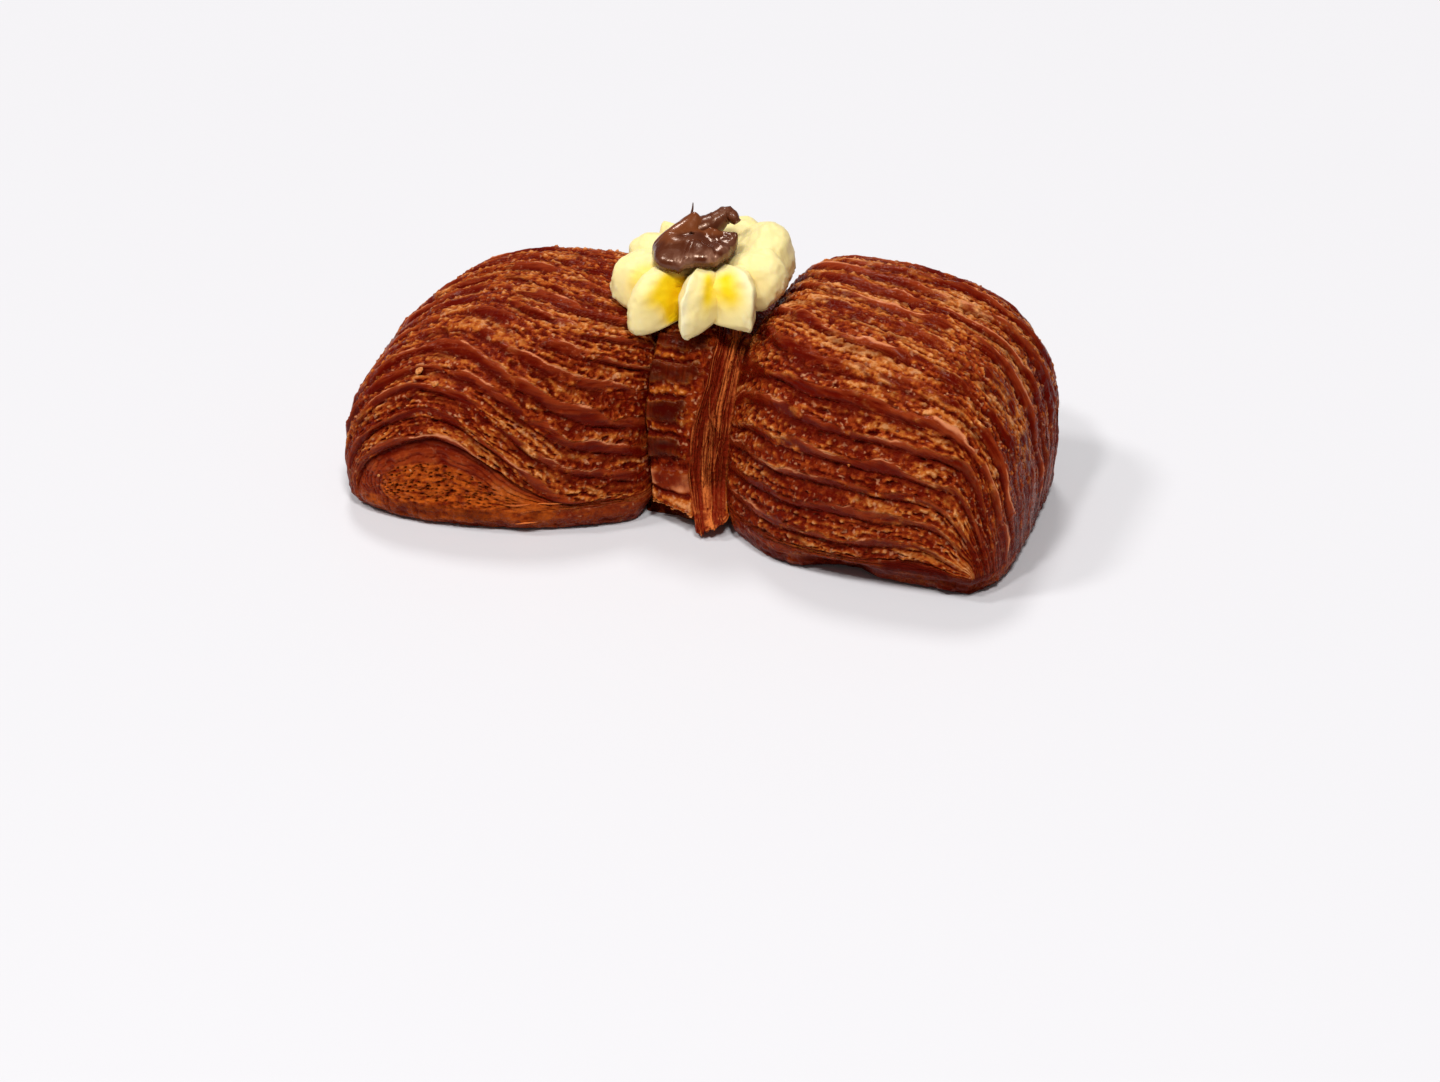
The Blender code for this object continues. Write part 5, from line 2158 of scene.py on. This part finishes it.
@dataclass(frozen=True)
class ChocolateDollop:
    """The dollop on the cream: a folded drop with smeared edge, a curled peak and a thread."""

    pillow: Pillow
    centre: tuple[float, float] = (-3.8 * MM, 4.8 * MM)
    half_length: float = 8.8 * MM
    half_width: float = 8.2 * MM
    height: float = 3.8 * MM
    turn: float = math.radians(22)
    gap: float = 0.12 * MM
    edge: float = 0.8 * MM
    around: int = 220
    rings: int = 96
    folds: tuple[Fold, ...] = (
        Fold((-5.0, 0.5), (0.5, 5.0), 2.6, 1.1),
        Fold((0.5, 2.5), (2.3, 6.5), 2.9, 0.9),
        Fold((-4.5, -3.0), (1.0, -2.5), 1.6, 0.35),
        Fold((-2.0, -0.5), (2.5, 1.5), 1.0, -0.30),
        Fold((1.5, 4.5), (5.0, 1.5), 1.8, 1.5),
    )
    curl: Strand = Strand(
        (
            (-1.2, 3.6, -4.2), (0.4, 4.6, -3.5), (1.9, 5.6, -2.9), (3.1, 6.7, -2.1),
            (4.1, 7.7, -1.2), (5.2, 8.2, -0.6), (6.3, 7.8, -1.0), (7.3, 7.4, -2.0),
        ),
        radius=3.3, tip=0.95, steps=48, sides=16, rough=0.35,
    )
    thread: Strand = Strand(
        ((-2.6, 7.4, -4.2), (-2.7, 7.8, -2.2), (-2.4, 8.1, -0.6), (-2.3, 8.0, 0.8)),
        radius=0.42, tip=0.10, steps=24, sides=8, rough=0.1,
    )

    def fold_height(self, u: Array, v: Array) -> Array:
        """Sum of the folds: each is a bell of the distance to its line.

        Args:
            u: Places along the drop in mm.
            v: Places across it in mm.

        Returns:
            The height in mm.
        """
        total = np.zeros(np.broadcast(u, v).shape)
        for fold in self.folds:
            start = np.array(fold.start)
            line = np.array(fold.end) - start
            share = ((u - start[0]) * line[0] + (v - start[1]) * line[1]) / (line @ line)
            share = np.clip(share, 0, 1)
            away = np.hypot(u - start[0] - share * line[0], v - start[1] - share * line[1])
            total += fold.height * np.exp(-((away / fold.width) ** 2))
        return total

    def build(self, ground: HeightMap, material: bpy.types.Material) -> bpy.types.Object:
        """Work out the dollop with its curl and thread, and make them a piece.

        The drop's radius is a sine power of the polar angle with three and five bulges, its
        height a cosine power above what it sits on, raised by the folds.

        Args:
            ground: Heights of the cream.
            material: The chocolate's material.

        Returns:
            The piece.
        """
        angle = circle(self.around)[None, :]
        polar = (math.pi * np.linspace(0.0, 1.0, self.rings + 1)[1:-1])[:, None]
        place = stacked(np.cos(angle) * 4, np.sin(angle) * 4, 0.0 * polar)
        ragged = 0.05 * rough_noise(place, 401, 3)
        uneven = 1.0 + 0.05 * np.cos(3 * angle + 0.6) + 0.04 * np.cos(5 * angle - 1.0) + ragged
        share = np.sin(polar) ** 0.9 * uneven
        v = self.half_width * share * np.sin(angle)
        narrowed = 1.0 - 0.50 * smooth_step(-0.1, 1.0, v / self.half_width)
        u = self.half_length * share * np.cos(angle) * narrowed
        middle_x, middle_y = self.pillow.centred(self.centre)
        cosine, sine = math.cos(self.turn), math.sin(self.turn)
        x = middle_x + u * cosine - v * sine
        y = middle_y + u * sine + v * cosine
        bottom = ground.at(x, y) + self.gap
        upper = polar < math.pi / 2
        back_heavy = 1.0 + 0.25 * np.sin(angle) * share
        rise = self.height * np.clip(np.cos(polar), 0.0, 1.0) ** 0.75 * back_heavy
        folds = self.fold_height(u / MM, v / MM) * MM
        calm = smooth_step(1.0, 0.55, share)
        swirl = rough_noise(stacked(x, y, 0.0) / (3.0 * MM), 411, 2)
        z = np.where(upper, bottom + self.edge + rise + (folds + 0.25 * MM * swirl) * calm, bottom)
        points = stacked(x, y, z)
        smear = smooth_step(0.62, 0.95, share) * bump_at(np.degrees(angle) % 360.0, 285.0, 40.0)
        # painted light: lighter and warmer on the folds' crests
        crest = mm_step(0.1, 0.9, folds)
        paint = {"zones": rgba(smear + 0.0 * x, crest, 0.0 * x)}
        drop = ring_shell(points, paint)
        crown = float(z.max()) - 0.6 * MM
        strands = [
            strand.shell((middle_x, middle_y, crown)) for strand in (self.curl, self.thread)
        ]
        return joined([drop, *strands]).make("chocolate_swirl", material)


# ---------------------------------------------------------------------------------------------
# Threads and flakes
# ---------------------------------------------------------------------------------------------


@dataclass(frozen=True)
class BandShreds:
    """Thin shreds of dough that lift off the band's cut edge."""

    band: KnotBand
    count: int = 30
    steps: int = 14
    sides: int = 5

    def build(self, material: bpy.types.Material) -> bpy.types.Object:
        """Work out the shreds and make them a piece.

        Each shred follows a sheet of the cut face over part of the front, and its ends lift and
        bend towards the wing: place along the face and lift are parabolas of its length.

        Args:
            material: The layered crust's material.

        Returns:
            The piece.
        """
        rng = np.random.default_rng(7)
        t = np.linspace(-1.0, 1.0, self.steps)[None, :]
        middle = math.pi - drawn(rng, -0.45, 1.15, self.count)
        span = drawn(rng, 0.07, 0.26, self.count)
        share = drawn(rng, 0.12, 0.92, self.count)
        drift = drawn(rng, -0.16, 0.10, self.count)
        lift = drawn(rng, 0.1, 0.9, self.count) * MM
        splay = drawn(rng, -0.3, 1.6, self.count) * MM
        angle = middle + span * t
        face = np.clip(share + drift * t, 0.03, 0.97)
        along = blend(self.band.inner_right[0], self.band.cut_top[0], face) + splay * t**2
        grow = blend(self.band.inner_right[1], self.band.cut_top[1], face) + 0.25 * MM + lift * t**2
        y, z = self.band.pillow.waist_section(angle, grow + self.band.gap)
        paths = stacked(self.band.pillow.place[0] + along, y, z)
        paths += 0.25 * MM * stacked(*(value_noise(paths / (2.0 * MM), 501 + i) for i in range(3)))
        radii = drawn(rng, 0.12, 0.26, self.count) * MM * (1.0 - 0.75 * t**2)
        shell = tubes(paths, radii, self.sides, 0.5)
        tone = np.repeat(rng.uniform(0.0, 0.8, self.count) ** 2, self.steps * self.sides)
        crust_paint(shell, (0.3, 0.2, 0.3), 0.9, tone)
        return shell.make("band_shreds", material)


@dataclass(frozen=True)
class FootSplinters:
    """Orange splinters of the lower layers, along the left wing's foot beside the lens."""

    pillow: Pillow
    count: int = 7
    steps: int = 22
    sides: int = 8

    def build(self, material: bpy.types.Material) -> bpy.types.Object:
        """Work out the splinters and make them a piece.

        Each one runs along the foot at its own height, a little proud of the skin, and lifts
        at one end.

        Args:
            material: The layered crust's material.

        Returns:
            The piece.
        """
        rng = np.random.default_rng(11)
        t = np.linspace(-1.0, 1.0, self.steps)[None, :]
        middle = drawn(rng, -0.28, -0.12, self.count)
        span = drawn(rng, 0.018, 0.045, self.count)
        low = drawn(rng, -0.995, -0.93, self.count)
        drift = drawn(rng, 0.0, 0.005, self.count)
        a = middle + span * t
        b = np.clip(low + drift * t, -1.0, -0.86)
        skin = self.pillow.skin(a, b)
        before = self.pillow.skin(a, b + 0.01)
        beside = self.pillow.skin(a + 0.01, b)
        outward = unit(np.cross(beside - skin, before - skin))
        lift = drawn(rng, 0.0, 0.3, self.count) * MM * smooth_step(0.2, 1.0, t)
        paths = skin + outward * (lift - 0.15 * MM)[..., None]
        paths[..., 2] += drawn(rng, -3.8, 0.0, self.count) * MM
        wave = stacked(paths[..., 0] / (2.5 * MM), 9.0 * middle, 0.0)
        paths[..., 2] = np.maximum(paths[..., 2] + 0.4 * MM * value_noise(wave, 511), 0.6 * MM)
        radii = drawn(rng, 0.30, 0.65, self.count) * MM
        radii = radii * (1.0 - 0.85 * np.abs(t) ** 1.5) * (1.0 + 0.3 * value_noise(wave * 1.7, 513))
        shell = tubes(paths, radii, self.sides, 0.35)
        shell.points[:, 2] = np.maximum(shell.points[:, 2], 0.03 * MM)
        tone = np.repeat(rng.uniform(0.5, 1.0, self.count), self.steps * self.sides)
        crust_paint(shell, (0.3, 0.0, 0.6), 0.95, tone)
        return shell.make("foot_splinters", material)


@dataclass(frozen=True)
class SkinFlakes:
    """Small pale flakes of crust that lie loose on the wings."""

    pillow: Pillow
    scattered: int = 18
    lift: float = 0.55 * MM
    around: int = 10
    rings: int = 10
    # The two largest ones on the left wing: place on the skin's grid and radius in mm
    large: tuple[Triple, ...] = ((-0.43, -0.43, 0.85), (-0.40, -0.49, 0.75))
    small: tuple[float, float] = (0.15, 0.38)

    def build(self, material: bpy.types.Material) -> bpy.types.Object:
        """Work out the flakes and make them a piece.

        A flake is a flattened ball whose radius varies by noise, laid on the skin.

        Args:
            material: The flakes' material.

        Returns:
            The piece.
        """
        rng = np.random.default_rng(23)
        a = np.concatenate([[f[0] for f in self.large], rng.uniform(-0.93, 0.93, self.scattered)])
        b = np.concatenate([[f[1] for f in self.large], rng.uniform(-0.8, -0.2, self.scattered)])
        clear = np.abs(a) > 0.16
        a, b = a[clear], b[clear]
        small = rng.uniform(*self.small, len(a) - len(self.large))
        size = np.concatenate([[f[2] for f in self.large], small]) * MM
        skin = self.pillow.skin(a, b)
        across = unit(self.pillow.skin(a, b + 0.01) - skin)
        along = unit(self.pillow.skin(a + 0.01, b) - skin)
        outward = np.cross(along, across)
        turn = circle(self.around)[None, :]
        polar = (math.pi * (np.arange(self.rings) + 0.5) / self.rings)[:, None]
        across_ball = np.sin(polar) * np.sin(turn)
        ball = stacked(np.sin(polar) * np.cos(turn), across_ball, 0.45 * np.cos(polar))
        ball = ball.reshape(-1, 3)
        number = np.arange(len(a))[:, None]
        seeds = stacked(ball[:, 0] * 2.1 + 5.0 * number, ball[:, 1] * 2.1, ball[:, 2] * 2.1)
        lumpy = ball[None] * (1.0 + 0.55 * value_noise(seeds, 601))[..., None] * size[:, None, None]
        points = (
            skin[:, None]
            + outward[:, None] * (lumpy[..., 2:] + self.lift)
            + along[:, None] * lumpy[..., :1]
            + across[:, None] * lumpy[..., 1:2]
        )
        grids = (self.rings, self.around, len(a))
        shell = Shell(points.reshape(-1, 3), ring_quads(*grids), ring_caps(*grids))
        crust_paint(shell, (0.0, 0.0, 1.0), 0.0, np.ones(len(shell.points)))
        return shell.make("skin_flakes", material)


# ---------------------------------------------------------------------------------------------
# The studio
# ---------------------------------------------------------------------------------------------


@dataclass(frozen=True)
class Softbox:
    """A large, distant soft light: its direction, apparent width in degrees and strength."""

    name: str
    azimuth: float
    elevation: float
    width: float
    strength: float
    tint: Colour = (1.0, 0.995, 1.0)


@dataclass(frozen=True)
class Studio:
    """Pale floor, soft lights and the camera at the photograph's angle."""

    floor_size: float = 4.0
    azimuth: float = 17.5
    elevation: float = 30.7
    distance: float = 0.85
    lens: float = 105.0
    sensor: float = 36.0
    target: Triple = (10.284 * MM, -22.412 * MM, 0.0)
    world: Colour = (1.0, 0.985, 1.0)
    world_strength: float = 0.15
    softboxes: tuple[Softbox, ...] = (
        Softbox("back_softbox", 205.0, 58.0, 12.0, 0.86),
        Softbox("left_softbox", 290.0, 52.0, 10.0, 0.82),
        Softbox("front_softbox", 30.0, 62.0, 11.0, 1.63),
        Softbox("near_softbox", 335.0, 55.0, 7.0, 0.84),
    )

    def direction(self, azimuth: float, elevation: float) -> Vector:
        """Unit vector from the pastry towards a place round it.

        Args:
            azimuth: Degrees round the pastry, 0 being the front.
            elevation: Degrees above the ground.

        Returns:
            The vector.
        """
        turn, rise = math.radians(azimuth), math.radians(elevation)
        return Vector(
            (math.sin(turn) * math.cos(rise), -math.cos(turn) * math.cos(rise), math.sin(rise))
        )

    def build(self) -> None:
        """Make floor, world, lights and camera."""
        self.build_floor()
        self.build_world()
        for softbox in self.softboxes:
            self.build_light(softbox)
        self.build_camera()

    def build_floor(self) -> None:
        """Flat pale ground under the pastry."""
        half = self.floor_size / 2
        corners = [(-half, -half, 0.0), (half, -half, 0.0), (half, half, 0.0), (-half, half, 0.0)]
        mesh = bpy.data.meshes.new("floor")
        mesh.from_pydata(corners, [], [(0, 1, 2, 3)])
        mesh.materials.append(PaleFloor().material())
        floor = bpy.data.objects.new("floor", mesh)
        bpy.context.scene.collection.objects.link(floor)

    def build_world(self) -> None:
        """Even pale light from everywhere, and plain display colours."""
        world = bpy.data.worlds.new("studio")
        world.use_nodes = True
        background = world.node_tree.nodes["Background"]
        background.inputs["Color"].default_value = (*self.world, 1.0)
        background.inputs["Strength"].default_value = self.world_strength
        scene = bpy.context.scene
        scene.world = world
        scene.view_settings.view_transform = "Standard"
        scene.view_settings.look = "None"

    def build_light(self, softbox: Softbox) -> None:
        """Distant light of the softbox's width, the same all over the floor.

        Args:
            softbox: The light's sizes.
        """
        light = bpy.data.lights.new(softbox.name, "SUN")
        light.angle = math.radians(softbox.width)
        light.energy = softbox.strength
        light.color = softbox.tint
        holder = bpy.data.objects.new(softbox.name, light)
        back = self.direction(softbox.azimuth, softbox.elevation)
        holder.location = back
        holder.rotation_euler = (-back).to_track_quat("-Z", "Y").to_euler()
        bpy.context.scene.collection.objects.link(holder)

    def build_camera(self) -> None:
        """Long lens at the photograph's angle and distance."""
        camera = bpy.data.cameras.new("camera")
        camera.lens = self.lens
        camera.sensor_width = self.sensor
        camera.clip_start = 0.05
        camera.clip_end = 20.0
        holder = bpy.data.objects.new("camera", camera)
        back = self.direction(self.azimuth, self.elevation)
        holder.location = Vector(self.target) + back * self.distance
        holder.rotation_euler = (-back).to_track_quat("-Z", "Y").to_euler()
        bpy.context.scene.collection.objects.link(holder)
        bpy.context.scene.camera = holder


# ---------------------------------------------------------------------------------------------
# Assembly
# ---------------------------------------------------------------------------------------------


def report(piece: bpy.types.Object, node: str) -> None:
    """Let a piece ride on the part, stand for a node where it does, and log its size.

    Args:
        piece: The finished piece.
        node: The node whose finish it takes and which it replaces.
    """
    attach(piece, "root")
    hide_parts(node)
    log.info("%s: %d faces for %s", piece.name, len(piece.data.polygons), node)


def main() -> None:
    """Build the pastry from the dough upwards, then the studio round it."""
    logging.basicConfig(level=logging.INFO, format="%(message)s")
    pillow = Pillow()
    crust = BakedCrust("baked_crust").material()
    layered = BakedCrust(
        "layered_crust",
        skin_deep=(0.045, 0.0010, 0.0003),
        skin_warm=(0.170, 0.0120, 0.0020),
        crumb_brown=(0.230, 0.0230, 0.0022),
        crumb_gold=(0.450, 0.1050, 0.0100),
        amber=(0.760, 0.1950, 0.0420),
        amber_deep=(0.190, 0.0130, 0.0030),
    ).material()
    seat = []
    for side, half in product(Side, Half):
        wing = DoughWing(side, half, pillow, Ribs()).build(crust)
        report(wing, "bow_dough")
        seat.append(wing)
    band = KnotBand(pillow)
    strip = band.build(layered)
    report(strip, "knot_band")
    seat.append(strip)
    report(BandShreds(band).build(layered), "knot_band")
    report(FootSplinters(pillow).build(layered), "bow_dough")
    report(SkinFlakes(pillow).build(layered), "bow_dough")
    cream = CreamRosette(pillow).build(HeightMap(seat, 0.5 * MM, 2), WhippedCream().material())
    report(cream, "cream_rosette")
    under_dollop = HeightMap([cream], 0.5 * MM, 4)
    dollop = ChocolateDollop(pillow).build(under_dollop, SoftChocolate().material())
    report(dollop, "chocolate_dollop")
    Studio().build()


if __name__ == "__main__":
    main()
